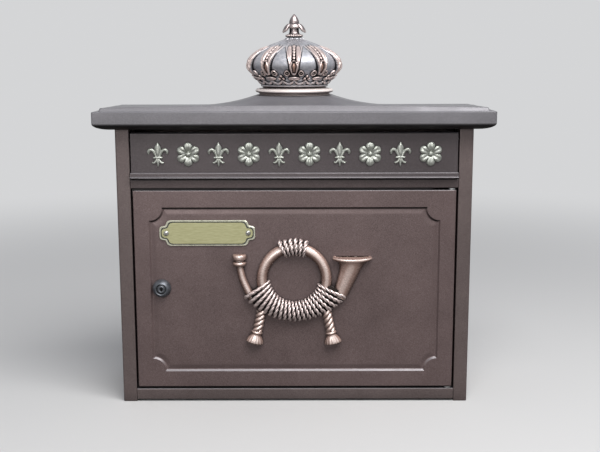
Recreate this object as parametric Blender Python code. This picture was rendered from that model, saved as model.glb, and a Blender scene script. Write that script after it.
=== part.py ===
"""Wall mailbox of cast and sheet metal with a crowned roof, a letter flap and a locking door.

Metres, +Z up, front towards -Y. The origin is at the middle of the box on the plane it stands on.
"""
import math

import bmesh
import bpy
from mathutils import Matrix, Vector
from mathutils.geometry import interpolate_bezier

# Fits and cuts
GAP = 0.0003
PIN_CLEARANCE = 0.0003
OVERRUN = 0.004
MERGE_DISTANCE = 0.000002
FINE_SIDES = 32
ROUND_SIDES = 16
SMALL_SIDES = 12
SMOOTH_DEGREES = 35
FILLET_STEPS = 3
HANDLE_SHARE = 1 / 6

# Body shell
BODY_WIDTH = 0.371
BODY_DEPTH = 0.112
SIDE_HEIGHT = 0.2932
SIDE_WALL = 0.003
POST_WIDTH = 0.0145
POST_FACE = 0.004
POST_RETURN = 0.012
RETURN_WALL = 0.003
POST_OUTER_ROUND = 0.0016
POST_INNER_ROUND = 0.0008
REAR_FLANGE_WIDTH = 0.020
BACK_SHEET = 0.002
FLOOR_SHEET = 0.002
FLOOR_RISE = 0.0016
TAB_THICKNESS = 0.003
TAB_LENGTH = 0.016
FRONT_TAB_SETBACK = 0.014
REAR_TAB_SETBACK = 0.013

# Roof casting
ROOF_SIDE_OVERHANG = 0.0195
ROOF_FRONT_OVERHANG = 0.020
MOULDING_HEIGHT = 0.0072
FASCIA_HEIGHT = 0.0118
FASCIA_ROUND = 0.0008
LEDGE_WIDTH = 0.0062
STEP_HEIGHT = 0.0036
STEP_SLOPE = 0.0016
RIM_ARCH = 0.0024
PLINTH_HEIGHT = 0.0143
PLINTH_WIDTH = 0.078
PLINTH_DEPTH = 0.080
SWEEP_REACH = 0.078
SWEEP_POWER = 2.3
RAMP_POWER = 1.3
ROOF_SKIN = 0.0036
ROOF_FLANGE = 0.006
BOSS_REACH = 0.028
MOULDING_STEPS = 4
SWEEP_COLUMNS = 9
RIM_COLUMNS = 4
RAMP_ROWS = 3

# Crown
CROWN_DISC_RADIUS = 0.0415
CROWN_DISC_HEIGHT = 0.0044
CROWN_COVE_HEIGHT = 0.0025
CROWN_COVE_RADIUS = 0.0393
CROWN_GROOVE_RADIUS = 0.0336
CROWN_GROOVE_HEIGHT = 0.0013
CROWN_RADIUS = 0.0490
CROWN_BODY_HEIGHT = 0.0512
CROWN_WALL = 0.0035
CROWN_DISC_SIDES = 40
BEAD_DEGREES = 80
BEAD_STEPS = 4
ARCH_COUNT = 10
PANEL_DEPTH = 0.0030
LEAF_RELIEF = 0.0018
CROWN_RINGS = 20
CROWN_LINING_RINGS = 4
FINIAL_HEIGHT = 0.0246
FINIAL_RADIUS = 0.0062
FINIAL_LEAF_RADIUS = 0.0128
FINIAL_LEAVES = 4
FINIAL_RINGS = 16
FINIAL_SIDES = 24
# Height share and radius share of the crown's body, from the circlet's foot to the neck's top
CROWN_PROFILE_SHARES = (
    (0.0, 0.715), (0.055, 0.735), (0.105, 0.78), (0.17, 0.83), (0.24, 0.895), (0.33, 0.965),
    (0.45, 1.0), (0.57, 0.965), (0.68, 0.86), (0.765, 0.72), (0.83, 0.58), (0.885, 0.43),
    (0.925, 0.29), (0.95, 0.205), (1.0, 0.19),
)
# Height share and radius share of the finial's bud above its leaves
FINIAL_PROFILE_SHARES = (
    (0.0, 1.35), (0.06, 1.5), (0.13, 1.42), (0.17, 1.1), (0.28, 0.85), (0.40, 0.72), (0.50, 0.78),
    (0.58, 0.93), (0.65, 1.0), (0.73, 0.93), (0.82, 0.68), (0.91, 0.36), (0.97, 0.13), (1.0, 0.0),
)
LEAF_LOW_SHARE = 0.20
LEAF_HIGH_SHARE = 0.50
# Where the columns of the crown's skin stand between one arch and the next, as shares of the arches' spacing
ARCH_COLUMN_SHARES = (-0.28, -0.21, -0.12, 0.0, 0.12, 0.21, 0.28, 0.5)
ARCH_HALF_SHARE = 0.25
PANEL_LOW_SHARE = 0.22
PANEL_HIGH_SHARE = 0.84
NECK_SHARE = 0.87
LEAF_HALF_SHARE = 0.15
LEAF_FOOT_SHARE = 0.20
LEAF_TIP_SHARE = 0.54
BAND_HIGH_SHARE = 0.17
BAND_RELIEF = 0.0012
CROWN_BOLT_RADIUS = 0.003
CROWN_BOLT_HEAD_RADIUS = 0.0056
CROWN_BOLT_HEAD_HEIGHT = 0.004
CROWN_BOLT_GRIP = 0.0115
WASHER_RADIUS = 0.0085
WASHER_THICKNESS = 0.0012
PLINTH_HOLLOW_WIDTH = 0.062

# Rails across the front
RAIL_DEPTH = 0.012
CROSS_RAIL_HEIGHT = 0.0092
BOTTOM_RAIL_HEIGHT = 0.0122
RAIL_ROUND = 0.0008
STOP_WALL = 0.002
STOP_REACH = 0.009
STOP_HINGE_SETBACK = 0.020
FLAP_STOP_REACH = 0.0034
FLAP_STOP_END = 0.003
RAIL_SCREW_INSET = 0.003

# Flap
FLAP_SIDE_GAP = 0.0015
FLAP_TOP_GAP = 0.0027
FLAP_BOTTOM_GAP = 0.0012
FLAP_HEIGHT = 0.0481
FLAP_THICKNESS = 0.003
FLAP_TOP_ROUND = 0.0025
FLAP_AXIS_DROP = 0.0085
FLAP_AXIS_SETBACK = 0.0075
FLAP_EAR_WIDTH = 0.006
FLAP_EAR_RADIUS = 0.0045
EAR_ROUND_SHARE = 0.8
BAR_END_GAP = 0.0005
BAR_HEIGHT = 0.0062
BAR_REACH = 0.0055
BAR_ROUND = 0.0022
FLAP_PIN_RADIUS = 0.0018
FLAP_PIN_HEAD_RADIUS = 0.0032
FLAP_PIN_HEAD = 0.0015

# Raised ornaments on the flap
ORNAMENT_COUNT = 10
ORNAMENT_HEIGHT = 0.0262
ROSETTE_WIDTH = 0.0250
LILY_WIDTH = 0.0225
ORNAMENT_RELIEF = 0.0026
ORNAMENT_END_MARGIN = 0.02825
# The part of the flap's free height that lies above the ornaments
ORNAMENT_TOP_SHARE = 0.61
ORNAMENT_BEVEL = 0.0007
ROSETTE_POINTS = 36
ROSETTE_LOBES = 6
ROSETTE_WAIST_SHARE = 0.66
# Across and up shares of half the lily's width and height: its right half from the foot to the tip
LILY_SHARES = (
    (0.0, -1.0), (0.13, -0.80), (0.16, -0.60), (0.30, -0.80), (0.56, -0.76), (0.50, -0.56),
    (0.30, -0.46), (0.46, -0.38), (0.46, -0.20), (0.30, -0.14), (0.50, 0.16), (0.72, 0.18),
    (0.74, -0.06), (0.88, -0.14), (1.0, 0.10), (0.94, 0.40), (0.70, 0.50), (0.46, 0.38),
    (0.22, -0.08), (0.36, 0.36), (0.30, 0.62), (0.0, 1.0),
)

# Door
DOOR_SIDE_GAP = 0.002
DOOR_TOP_GAP = 0.0021
DOOR_BOTTOM_GAP = 0.0022
DOOR_RIM_DEPTH = 0.0065
DOOR_RIM_WALL = 0.003
DOOR_PLATE = 0.004
DOOR_EDGE_ROUND = 0.0013
PANEL_SIDE_MARGIN = 0.0170
PANEL_TOP_MARGIN = 0.0190
PANEL_BOTTOM_MARGIN = 0.0185
PANEL_RECESS = 0.0012
PANEL_CORNER_RADIUS = 0.0140
PANEL_CORNER_STEPS = 6
HINGE_INSET = 0.004
HINGE_SETBACK = 0.004
HINGE_BOSS_WIDTH = 0.0085
HINGE_BOSS_BACK = 0.0045
HINGE_BOSS_HEIGHT = 0.012
DOOR_PIN_RADIUS = 0.002
DOOR_PIN_DEPTH = 0.008
DOOR_PIN_COLLAR_RADIUS = 0.0040

# Post horn, a relief casting on the door
HORN_CENTRE_X = -0.0005
HORN_STANDOFF = 0.0032
RING_RADIUS = 0.0341
RING_TUBE = 0.0058
RING_STEPS = 36
TUBE_SIDES = 10
WINDING_HALF_WIDTH = 0.0108
WINDING_FLARE = 0.0056
WINDING_HALF_DEPTH = 0.0078
WINDING_START_DEGREES = 190.0
WINDING_END_DEGREES = 350.0
WINDING_TURNS = 20
WINDING_RIB = 0.0009
TOP_WRAP_DEGREES = 24.0
TOP_WRAP_TURNS = 6
TOP_WRAP_HALF_WIDTH = 0.0088
TOP_WRAP_HALF_DEPTH = 0.0076
MOUTH_PIPE = 0.0037
MOUTH_PIPE_FOOT = 0.0048
MOUTH_OUT = 0.0571
MOUTH_RISE = 0.0159
MOUTH_FOOT_OUT = 0.0400
MOUTH_FOOT_DROP = 0.0271
# Across and up shares of the way from the pipe's foot to its mouthpiece
MOUTH_PIPE_SHARES = ((0.0, 0.0), (0.48, 0.316), (0.836, 0.65), (1.0, 1.0))
MOUTH_COLLAR_RADIUS = 0.0067
MOUTH_COLLAR_HEIGHT = 0.0044
MOUTH_NECK_HEIGHT = 0.0015
MOUTH_RIM_RADIUS = 0.0074
MOUTH_RIM_HEIGHT = 0.0062
BELL_OUT = 0.0613
BELL_RISE = 0.0219
BELL_FOOT_OUT = 0.0455
BELL_FOOT_DROP = 0.0231
BELL_FOOT_DEPTH = 0.0055
BELL_RIM_RADIUS = 0.0211
BELL_RIM_HEIGHT = 0.0030
BELL_RIM_DEPTH = 0.0088
BELL_DISH_SHARE = 0.82
# Across and up shares of the way from the bell's foot to its rim, and the width there as a share of the rim's
BELL_SHARES = ((0.0, 0.0, 0.26), (0.215, 0.25, 0.30), (0.57, 0.58, 0.40), (0.93, 0.87, 0.545), (1.0, 1.0, 0.92))
CORD_RADIUS = 0.0050
CORD_TOP_DROP = 0.0341
CORD_END_DROP = 0.0561
LEFT_CORD_TOP_OUT = 0.0360
LEFT_CORD_END_OUT = 0.0391
RIGHT_CORD_TOP_OUT = 0.0345
RIGHT_CORD_END_OUT = 0.0378
TASSEL_RADIUS = 0.0090
TASSEL_NECK = 0.0050
TASSEL_DEPTH = 0.0062
TASSEL_LENGTH = 0.0135
TASSEL_SPREAD = 0.0042
STUD_RADIUS = 0.002
STUD_LENGTH = 0.0085

# Name plate
NAME_PLATE_HEIGHT = 0.0290
NAME_PLATE_THICKNESS = 0.0012
NAME_PLATE_SIDE_MARGIN = 0.0261
NAME_PLATE_HORN_GAP = 0.0402
# The parts of the field's free height that lie above the plate, and between the plate and the horn
PLATE_TOP_SHARE = 0.235
PLATE_HORN_SHARE = 0.143
NAME_PLATE_CORNER = 0.0118
# Distances from the corner of the plate, along its long edge and down its short edge, as shares of the corner
PLATE_CORNER_SHARES = ((1.0, 0.0), (0.68, 0.17), (0.53, 0.48), (0.18, 0.53), (0.0, 0.78))
NAME_PLATE_SCREW_INSET = 0.0080

# Lock
LOCK_INSET = 0.0279
LOCK_RISE = 0.00225
LOCK_FLANGE_RADIUS = 0.0098
LOCK_NOSE_RADIUS = 0.0076
LOCK_FLANGE_EDGE = 0.0020
LOCK_REACH = 0.0078
LOCK_BARREL_RADIUS = 0.0080
LOCK_WALL = 0.0028
LOCK_NUT_RADIUS = 0.0125
LOCK_NUT_THICKNESS = 0.003
PLUG_SETBACK = 0.0006
PLUG_TAIL_RADIUS = 0.003
KEY_SLOT_WIDTH = 0.0014
KEY_SLOT_HEIGHT = 0.0064
KEY_SLOT_DEPTH = 0.004
CAM_LENGTH = 0.036
CAM_WIDTH = 0.014
CAM_THICKNESS = 0.002
CAM_NUT_RADIUS = 0.0055
CAM_NUT_THICKNESS = 0.003

# Fasteners
HEAD_TOP_SHARE = 0.7
HEAD_SIDE_SHARE = 0.4
FLOOR_SCREW_LENGTH = 0.0050
BACK_SCREW_HEAD_RADIUS = 0.0035
BACK_SCREW_CONE = 0.0014
SCREW_RADIUS = 0.0020
SCREW_HEAD_RADIUS = 0.0036
SCREW_HEAD = 0.0022
SCREW_LENGTH = 0.0095
RAIL_SCREW_RADIUS = 0.0015
RAIL_SCREW_HEAD_RADIUS = 0.0027
RAIL_SCREW_LENGTH = 0.0095
BACK_SCREW_LENGTH = 0.0080
BACK_SCREW_MARGIN = 0.034
BACK_SCREW_INSET = 0.012
BACK_SCREW_LIP = 0.0004
PLATE_SCREW_RADIUS = 0.0012
PLATE_SCREW_HEAD_RADIUS = 0.0027
PLATE_SCREW_HEAD = 0.0011
PLATE_SCREW_LENGTH = 0.0035
HORN_NUT_RADIUS = 0.0040
HORN_NUT_THICKNESS = 0.0028
WALL_HOLE_RADIUS = 0.003
WALL_HOLE_SPACING_X = 0.260
WALL_HOLE_SPACING_Z = 0.200

# Planes that the pieces share
ROOF_WIDTH = BODY_WIDTH + 2 * ROOF_SIDE_OVERHANG
ROOF_DEPTH = BODY_DEPTH + ROOF_FRONT_OVERHANG
BACK_Y = ROOF_DEPTH / 2
FRONT_Y = BACK_Y - BODY_DEPTH
ROOF_FRONT_Y = -ROOF_DEPTH / 2
SIDE_X = BODY_WIDTH / 2
WALL_INNER_X = SIDE_X - SIDE_WALL
OPENING_X = SIDE_X - POST_WIDTH
RETURN_Y = FRONT_Y + POST_RETURN
SHEET_FRONT_Y = BACK_Y - BACK_SHEET
FLANGE_BACK_Y = SHEET_FRONT_Y - GAP
FLANGE_FRONT_Y = FLANGE_BACK_Y - SIDE_WALL
ROOF_BOTTOM = SIDE_HEIGHT + GAP
FASCIA_BOTTOM = ROOF_BOTTOM + MOULDING_HEIGHT
FASCIA_TOP = FASCIA_BOTTOM + FASCIA_HEIGHT
STEP_TOP = FASCIA_TOP + STEP_HEIGHT
PLINTH_TOP = FASCIA_TOP + PLINTH_HEIGHT
TAB_INNER_X = OPENING_X
TAB_HOLE_X = (OPENING_X + WALL_INNER_X) / 2
FRONT_TAB_Y = RETURN_Y + FRONT_TAB_SETBACK
REAR_TAB_Y = FLANGE_FRONT_Y - REAR_TAB_SETBACK
FLOOR_TAB_TOP = FLOOR_RISE + TAB_THICKNESS
FLOOR_BOTTOM = FLOOR_TAB_TOP + GAP
FLOOR_TOP = FLOOR_BOTTOM + FLOOR_SHEET
FLAP_X = OPENING_X - FLAP_SIDE_GAP
BAR_X = OPENING_X - BAR_END_GAP
FLAP_TOP = SIDE_HEIGHT - FLAP_TOP_GAP
FLAP_BOTTOM = FLAP_TOP - FLAP_HEIGHT
CROSS_RAIL_TOP = FLAP_BOTTOM - FLAP_BOTTOM_GAP
CROSS_RAIL_BOTTOM = CROSS_RAIL_TOP - CROSS_RAIL_HEIGHT
BOTTOM_RAIL_TOP = FLOOR_RISE + BOTTOM_RAIL_HEIGHT
RAIL_HALF = OPENING_X - GAP
RAIL_BACK_Y = FRONT_Y + RAIL_DEPTH
FLAP_AXIS_Y = FRONT_Y + FLAP_AXIS_SETBACK
FLAP_AXIS_Z = FLAP_TOP - FLAP_AXIS_DROP
FLAP_FREE_HEIGHT = FLAP_HEIGHT - BAR_HEIGHT - ORNAMENT_HEIGHT
ORNAMENT_CENTRE_Z = FLAP_TOP - FLAP_FREE_HEIGHT * ORNAMENT_TOP_SHARE - ORNAMENT_HEIGHT / 2
DOOR_X = OPENING_X - DOOR_SIDE_GAP
DOOR_TOP = CROSS_RAIL_BOTTOM - DOOR_TOP_GAP
DOOR_BOTTOM = BOTTOM_RAIL_TOP + DOOR_BOTTOM_GAP
DOOR_MIDDLE = (DOOR_TOP + DOOR_BOTTOM) / 2
HINGE_X = DOOR_X - HINGE_INSET
HINGE_Y = FRONT_Y + HINGE_SETBACK
PANEL_Y = FRONT_Y + PANEL_RECESS
DOOR_BACK_Y = FRONT_Y + DOOR_PLATE
PLATE_BACK_Y = DOOR_BACK_Y + GAP
HORN_Y = PANEL_Y - HORN_STANDOFF
MOUTH_HEIGHT = MOUTH_COLLAR_HEIGHT + MOUTH_NECK_HEIGHT + MOUTH_RIM_HEIGHT
HORN_HEIGHT = MOUTH_RISE + MOUTH_HEIGHT + CORD_END_DROP + TASSEL_LENGTH
FIELD_TOP = DOOR_TOP - PANEL_TOP_MARGIN
FIELD_BOTTOM = DOOR_BOTTOM + PANEL_BOTTOM_MARGIN
FIELD_FREE_HEIGHT = FIELD_TOP - FIELD_BOTTOM - NAME_PLATE_HEIGHT - HORN_HEIGHT
NAME_PLATE_Z = FIELD_TOP - FIELD_FREE_HEIGHT * PLATE_TOP_SHARE - NAME_PLATE_HEIGHT / 2
HORN_TOP = NAME_PLATE_Z - NAME_PLATE_HEIGHT / 2 - FIELD_FREE_HEIGHT * PLATE_HORN_SHARE
HORN_CENTRE_Z = HORN_TOP - MOUTH_HEIGHT - MOUTH_RISE
MOUTH_X = HORN_CENTRE_X - MOUTH_OUT
MOUTH_Z = HORN_CENTRE_Z + MOUTH_RISE
BELL_X = HORN_CENTRE_X + BELL_OUT
BELL_Z = HORN_CENTRE_Z + BELL_RISE
NAME_PLATE_LEFT = NAME_PLATE_SIDE_MARGIN - DOOR_X
NAME_PLATE_RIGHT = HORN_CENTRE_X - NAME_PLATE_HORN_GAP
LOCK_X = LOCK_INSET - DOOR_X
LOCK_Z = DOOR_MIDDLE + LOCK_RISE
WALL_HOLE_CENTRE_Z = SIDE_HEIGHT / 2
CROWN_FOOT = PLINTH_TOP + GAP
CROWN_DISC_TOP = CROWN_FOOT + CROWN_COVE_HEIGHT + CROWN_DISC_HEIGHT
CROWN_BODY_BOTTOM = CROWN_DISC_TOP + CROWN_GROOVE_HEIGHT + GAP
CROWN_BODY_TOP = CROWN_BODY_BOTTOM + CROWN_BODY_HEIGHT
FINIAL_BOTTOM = CROWN_BODY_TOP + GAP
SCREW_HOLE_RADIUS = SCREW_RADIUS + PIN_CLEARANCE
RAIL_SCREW_Y = RAIL_BACK_Y - RAIL_SCREW_INSET
LOCK_END_Y = RETURN_Y - GAP
CAM_Y = RETURN_Y + GAP


def clear_scene():
    for old in list(bpy.data.objects):
        bpy.data.objects.remove(old, do_unlink=True)


def material(name, red, green, blue, roughness, metallic):
    made = bpy.data.materials.new(name)
    made.use_nodes = True
    shader = made.node_tree.nodes["Principled BSDF"]
    shader.inputs["Base Color"].default_value = (red, green, blue, 1)
    shader.inputs["Roughness"].default_value = roughness
    shader.inputs["Metallic"].default_value = metallic
    return made


def finished(mesh_data, name, finish):
    """An object made of the bmesh, with its material and smooth round faces."""
    bmesh.ops.recalc_face_normals(mesh_data, faces=mesh_data.faces)
    mesh = bpy.data.meshes.new(name)
    mesh_data.to_mesh(mesh)
    mesh_data.free()
    mesh.shade_smooth()
    mesh.set_sharp_from_angle(angle=math.radians(SMOOTH_DEGREES))
    if finish:
        mesh.materials.append(finish)
    made = bpy.data.objects.new(name, mesh)
    bpy.context.collection.objects.link(made)
    return made


def set_origin(piece, point):
    """Moves the object's origin to a point and leaves its shape where it is."""
    place = Vector(point)
    piece.data.transform(Matrix.Translation(-place))
    piece.location = place


def box(name, low, high, finish=None):
    low, high = Vector(low), Vector(high)
    mesh_data = bmesh.new()
    bmesh.ops.create_cube(mesh_data, size=1)
    bmesh.ops.scale(mesh_data, vec=high - low, verts=mesh_data.verts)
    bmesh.ops.translate(mesh_data, vec=(high + low) / 2, verts=mesh_data.verts)
    return finished(mesh_data, name, finish)


def lift(flat, height, axis):
    """A point of an outline, raised to a height along the axis that the outline is square to."""
    first, second = flat
    if axis == "X":
        return Vector((height, first, second))
    if axis == "Y":
        return Vector((first, height, second))
    return Vector((first, second, height))


def prism(name, outline, start, end, axis, finish=None):
    """An outline extruded along an axis; the outline lies in the other two axes, in X, Y, Z order."""
    mesh_data = bmesh.new()
    face = mesh_data.faces.new([mesh_data.verts.new(lift(point, start, axis)) for point in outline])
    grown = bmesh.ops.extrude_face_region(mesh_data, geom=[face])
    moved = [item for item in grown["geom"] if isinstance(item, bmesh.types.BMVert)]
    bmesh.ops.translate(mesh_data, vec=lift((0, 0), end - start, axis), verts=moved)
    return finished(mesh_data, name, finish)


def turned(name, profile, centre, axis, sides, finish=None):
    """A profile of (radius, height) pairs spun round the axis through the centre; it closes on itself."""
    mesh_data = bmesh.new()
    corners = [mesh_data.verts.new((radius, 0, height)) for radius, height in profile]
    closing = [] if profile[0][0] == 0 and profile[-1][0] == 0 else [(corners[-1], corners[0])]
    edges = [mesh_data.edges.new(pair) for pair in list(zip(corners, corners[1:])) + closing]
    bmesh.ops.spin(mesh_data, geom=corners + edges, cent=(0, 0, 0), axis=(0, 0, 1),
                   angle=2 * math.pi, steps=sides, use_merge=True)
    bmesh.ops.remove_doubles(mesh_data, verts=mesh_data.verts, dist=MERGE_DISTANCE)
    quarter = {"X": Matrix.Rotation(math.pi / 2, 4, "Y"), "Y": Matrix.Rotation(-math.pi / 2, 4, "X"),
               "Z": Matrix.Identity(4)}[axis]
    bmesh.ops.transform(mesh_data, matrix=Matrix.Translation(centre) @ quarter, verts=mesh_data.verts)
    return finished(mesh_data, name, finish)


def rod(name, start, end, radius, axis, sides=SMALL_SIDES, finish=None):
    """A plain round rod between two heights on an axis; start holds all three coordinates."""
    index = "XYZ".index(axis)
    length = end - start[index]
    return turned(name, [(0, 0), (radius, 0), (radius, length), (0, length)], start, axis, sides, finish)


def combined(target, tool, operation, solver="EXACT"):
    """The target after a Boolean with the tool, which is used up."""
    step = target.modifiers.new("step", "BOOLEAN")
    step.operation = operation
    step.solver = solver
    step.object = tool
    bpy.context.view_layer.update()
    seen = target.evaluated_get(bpy.context.evaluated_depsgraph_get())
    mesh = bpy.data.meshes.new_from_object(seen)
    target.modifiers.clear()
    target.data = mesh
    bpy.data.objects.remove(tool, do_unlink=True)
    mesh_data = bmesh.new()
    mesh_data.from_mesh(mesh)
    bmesh.ops.remove_doubles(mesh_data, verts=mesh_data.verts, dist=MERGE_DISTANCE)
    bmesh.ops.dissolve_degenerate(mesh_data, edges=mesh_data.edges, dist=MERGE_DISTANCE)
    mesh_data.to_mesh(mesh)
    mesh_data.free()
    return target


def gathered(tools):
    """One tool that holds the shapes of several, none of which touches another."""
    mesh_data = bmesh.new()
    for tool in tools:
        mesh_data.from_mesh(tool.data)
        bpy.data.objects.remove(tool, do_unlink=True)
    return finished(mesh_data, "tools", None)


def cut(target, *tools):
    """The target less the tools, which don't touch one another."""
    return combined(target, gathered(tools), "DIFFERENCE")


def join(target, *tools):
    for tool in tools:
        combined(target, tool, "UNION")
    return target


def arc(centre, radius, start_degrees, end_degrees, steps):
    return [(centre[0] + radius * math.cos(angle), centre[1] + radius * math.sin(angle))
            for angle in (math.radians(start_degrees + (end_degrees - start_degrees) * i / steps)
                          for i in range(steps + 1))]


def filleted(outline, radii, steps=FILLET_STEPS):
    """An outline with its corners rounded; radii maps a corner's index, or that from the end, to a radius."""
    rounded = []
    count = len(outline)
    for i, corner in enumerate(outline):
        radius = radii.get(i, radii.get(i - count, 0))
        if radius == 0:
            rounded.append(corner)
            continue
        here = Vector(corner)
        before = (Vector(outline[i - 1]) - here).normalized()
        after = (Vector(outline[(i + 1) % count]) - here).normalized()
        half = before.angle(after) / 2
        reach = radius / math.tan(half)
        middle = here + (before + after).normalized() * (radius / math.sin(half))
        first, last = here + before * reach - middle, here + after * reach - middle
        sweep = first.angle(last)
        for k in range(steps + 1):
            share = k / steps
            blend = (first * math.sin((1 - share) * sweep) + last * math.sin(share * sweep)) / math.sin(sweep)
            rounded.append(tuple(middle + blend))
    return rounded


def mirrored(outline):
    return [(-x, y) for x, y in reversed(outline)]


def smooth_curve(points, steps):
    """Points of a smooth curve through the given ones, with handles set by each point's two neighbours."""
    points = [Vector(point) for point in points]
    ends = points[:1] + points + points[-1:]
    curve = []
    for before, start, end, after in zip(ends, ends[1:], ends[2:], ends[3:]):
        handle = start + (end - before) * HANDLE_SHARE
        other = end - (after - start) * HANDLE_SHARE
        curve += interpolate_bezier(start, handle, other, end, steps + 1)[:-1]
    return curve + [points[-1]]


def value_at(shares, share):
    """The value between the entries of a table of (place, value) shares."""
    for (low, first), (high, last) in zip(shares, shares[1:]):
        if share <= high:
            return first + (last - first) * (share - low) / (high - low)
    return shares[-1][1]


def skinned(name, rings, finish=None, closed_path=False, closed_ends=True):
    """A closed skin over rings of points that all hold the same number."""
    mesh_data = bmesh.new()
    loops = [[mesh_data.verts.new(point) for point in ring] for ring in rings]
    pairs = list(zip(loops, loops[1:])) + ([(loops[-1], loops[0])] if closed_path else [])
    for lower, upper in pairs:
        for i in range(len(lower)):
            k = (i + 1) % len(lower)
            mesh_data.faces.new((lower[i], lower[k], upper[k], upper[i]))
    if closed_ends and not closed_path:
        mesh_data.faces.new(list(reversed(loops[0])))
        mesh_data.faces.new(loops[-1])
    return finished(mesh_data, name, finish)


def flat_tube(name, path, widths, depths, sides, closed_path=False):
    """A tube of oval section along a path of (x, z) points in the plane of the horn."""
    rings = []
    count = len(path)
    for i, point in enumerate(path):
        before = path[i - 1] if closed_path or i else path[i]
        after = path[(i + 1) % count] if closed_path or i < count - 1 else path[i]
        along = (Vector(after) - Vector(before)).normalized()
        across = Vector((along.y, -along.x))
        rings.append([(point[0] + across.x * widths[i] * math.cos(turn),
                       HORN_Y - depths[i] * math.sin(turn),
                       point[1] + across.y * widths[i] * math.cos(turn))
                      for turn in (2 * math.pi * k / sides for k in range(sides))])
    return skinned(name, rings, closed_path=closed_path)


def screw(name, finish, place, axis, way, radius, head_radius, head, length):
    """A pan-head screw; place is the seat under its head, and way is +1 or -1 along the axis to its tip."""
    profile = [(0, -way * head), (head_radius * HEAD_TOP_SHARE, -way * head),
               (head_radius, -way * head * HEAD_SIDE_SHARE), (head_radius, 0), (radius, 0),
               (radius, way * length), (0, way * length)]
    return turned(name, profile, place, axis, SMALL_SIDES, finish)


def hex_nut(name, finish, place, axis, radius, bore, thickness):
    """A six-sided nut whose bore's flats clear the radius of what passes through it."""
    bore = bore / math.cos(math.pi / 6)
    profile = [(bore, 0), (radius, 0), (radius, thickness), (bore, thickness)]
    return turned(name, profile, place, axis, 6, finish)


def side_panel(name, finish, side):
    """A side wall with its front post, the return behind it, the rear flange and four screw tabs."""
    outline = [
        (SIDE_X, FRONT_Y), (SIDE_X, BACK_Y), (WALL_INNER_X, BACK_Y), (WALL_INNER_X, FLANGE_BACK_Y),
        (SIDE_X - REAR_FLANGE_WIDTH, FLANGE_BACK_Y), (SIDE_X - REAR_FLANGE_WIDTH, FLANGE_FRONT_Y),
        (WALL_INNER_X, FLANGE_FRONT_Y), (WALL_INNER_X, FRONT_Y + POST_FACE),
        (OPENING_X + RETURN_WALL, FRONT_Y + POST_FACE), (OPENING_X + RETURN_WALL, RETURN_Y),
        (OPENING_X, RETURN_Y), (OPENING_X, FRONT_Y),
    ]
    outline = filleted(outline, {0: POST_OUTER_ROUND, -1: POST_INNER_ROUND})
    if side < 0:
        outline = mirrored(outline)
    panel = prism(name, outline, 0, SIDE_HEIGHT, "Z", finish)
    inner, outer = side * TAB_INNER_X, side * (SIDE_X - SIDE_WALL / 2)
    left, right = min(inner, outer), max(inner, outer)
    tabs, holes = [], []
    for tab_y in (FRONT_TAB_Y, REAR_TAB_Y):
        for low, high in ((FLOOR_RISE, FLOOR_TAB_TOP), (SIDE_HEIGHT - TAB_THICKNESS, SIDE_HEIGHT)):
            tabs.append(box("tab", (left, tab_y - TAB_LENGTH / 2, low), (right, tab_y + TAB_LENGTH / 2, high)))
            start = (side * TAB_HOLE_X, tab_y, low - OVERRUN)
            holes.append(rod("tab_hole", start, high + OVERRUN, SCREW_HOLE_RADIUS, "Z"))
    join(panel, gathered(tabs))
    middle = side * (OPENING_X + RETURN_WALL / 2)
    reach = RETURN_WALL / 2 + OVERRUN
    for z in rail_screw_heights():
        start = (middle - reach, RAIL_SCREW_Y, z)
        holes.append(rod("rail_hole", start, middle + reach, RAIL_SCREW_RADIUS + PIN_CLEARANCE, "X"))
    start = (middle - reach, FLAP_AXIS_Y, FLAP_AXIS_Z)
    holes.append(rod("flap_hole", start, middle + reach, FLAP_PIN_RADIUS + PIN_CLEARANCE, "X"))
    for z in back_screw_heights():
        start = (side * (SIDE_X - BACK_SCREW_INSET), FLANGE_FRONT_Y - OVERRUN, z)
        holes.append(rod("flange_hole", start, FLANGE_BACK_Y + OVERRUN, SCREW_HOLE_RADIUS, "Y"))
    return cut(panel, *holes)


def rail_screw_heights():
    return (CROSS_RAIL_BOTTOM + CROSS_RAIL_HEIGHT / 2, FLOOR_RISE + BOTTOM_RAIL_HEIGHT / 2)


def back_screw_heights():
    return (BACK_SCREW_MARGIN, SIDE_HEIGHT - BACK_SCREW_MARGIN)


def back_screw_profile(clearance, lead):
    """The countersunk screw's profile from its head inwards; lead runs the head out past the back."""
    head = BACK_SCREW_HEAD_RADIUS + clearance
    shank = SCREW_RADIUS + clearance
    return [(0, lead), (head, lead), (head, 0), (shank, -BACK_SCREW_CONE), (shank, -BACK_SCREW_LENGTH),
            (0, -BACK_SCREW_LENGTH)]


def back_panel(finish):
    """The sheet that closes the back, with four wall holes and its countersunk screw holes."""
    half = WALL_INNER_X - GAP
    panel = box("back_panel", (-half, SHEET_FRONT_Y, FLOOR_RISE), (half, BACK_Y, SIDE_HEIGHT), finish)
    holes = []
    for side in (-1, 1):
        for z in back_screw_heights():
            place = (side * (SIDE_X - BACK_SCREW_INSET), BACK_Y - BACK_SCREW_LIP, z)
            holes.append(turned("seat", back_screw_profile(PIN_CLEARANCE, OVERRUN), place, "Y", SMALL_SIDES))
        for up in (-1, 1):
            z = WALL_HOLE_CENTRE_Z + up * WALL_HOLE_SPACING_Z / 2
            start = (side * WALL_HOLE_SPACING_X / 2, SHEET_FRONT_Y - OVERRUN, z)
            holes.append(rod("wall_hole", start, BACK_Y + OVERRUN, WALL_HOLE_RADIUS, "Y"))
    return cut(panel, *holes)


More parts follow.
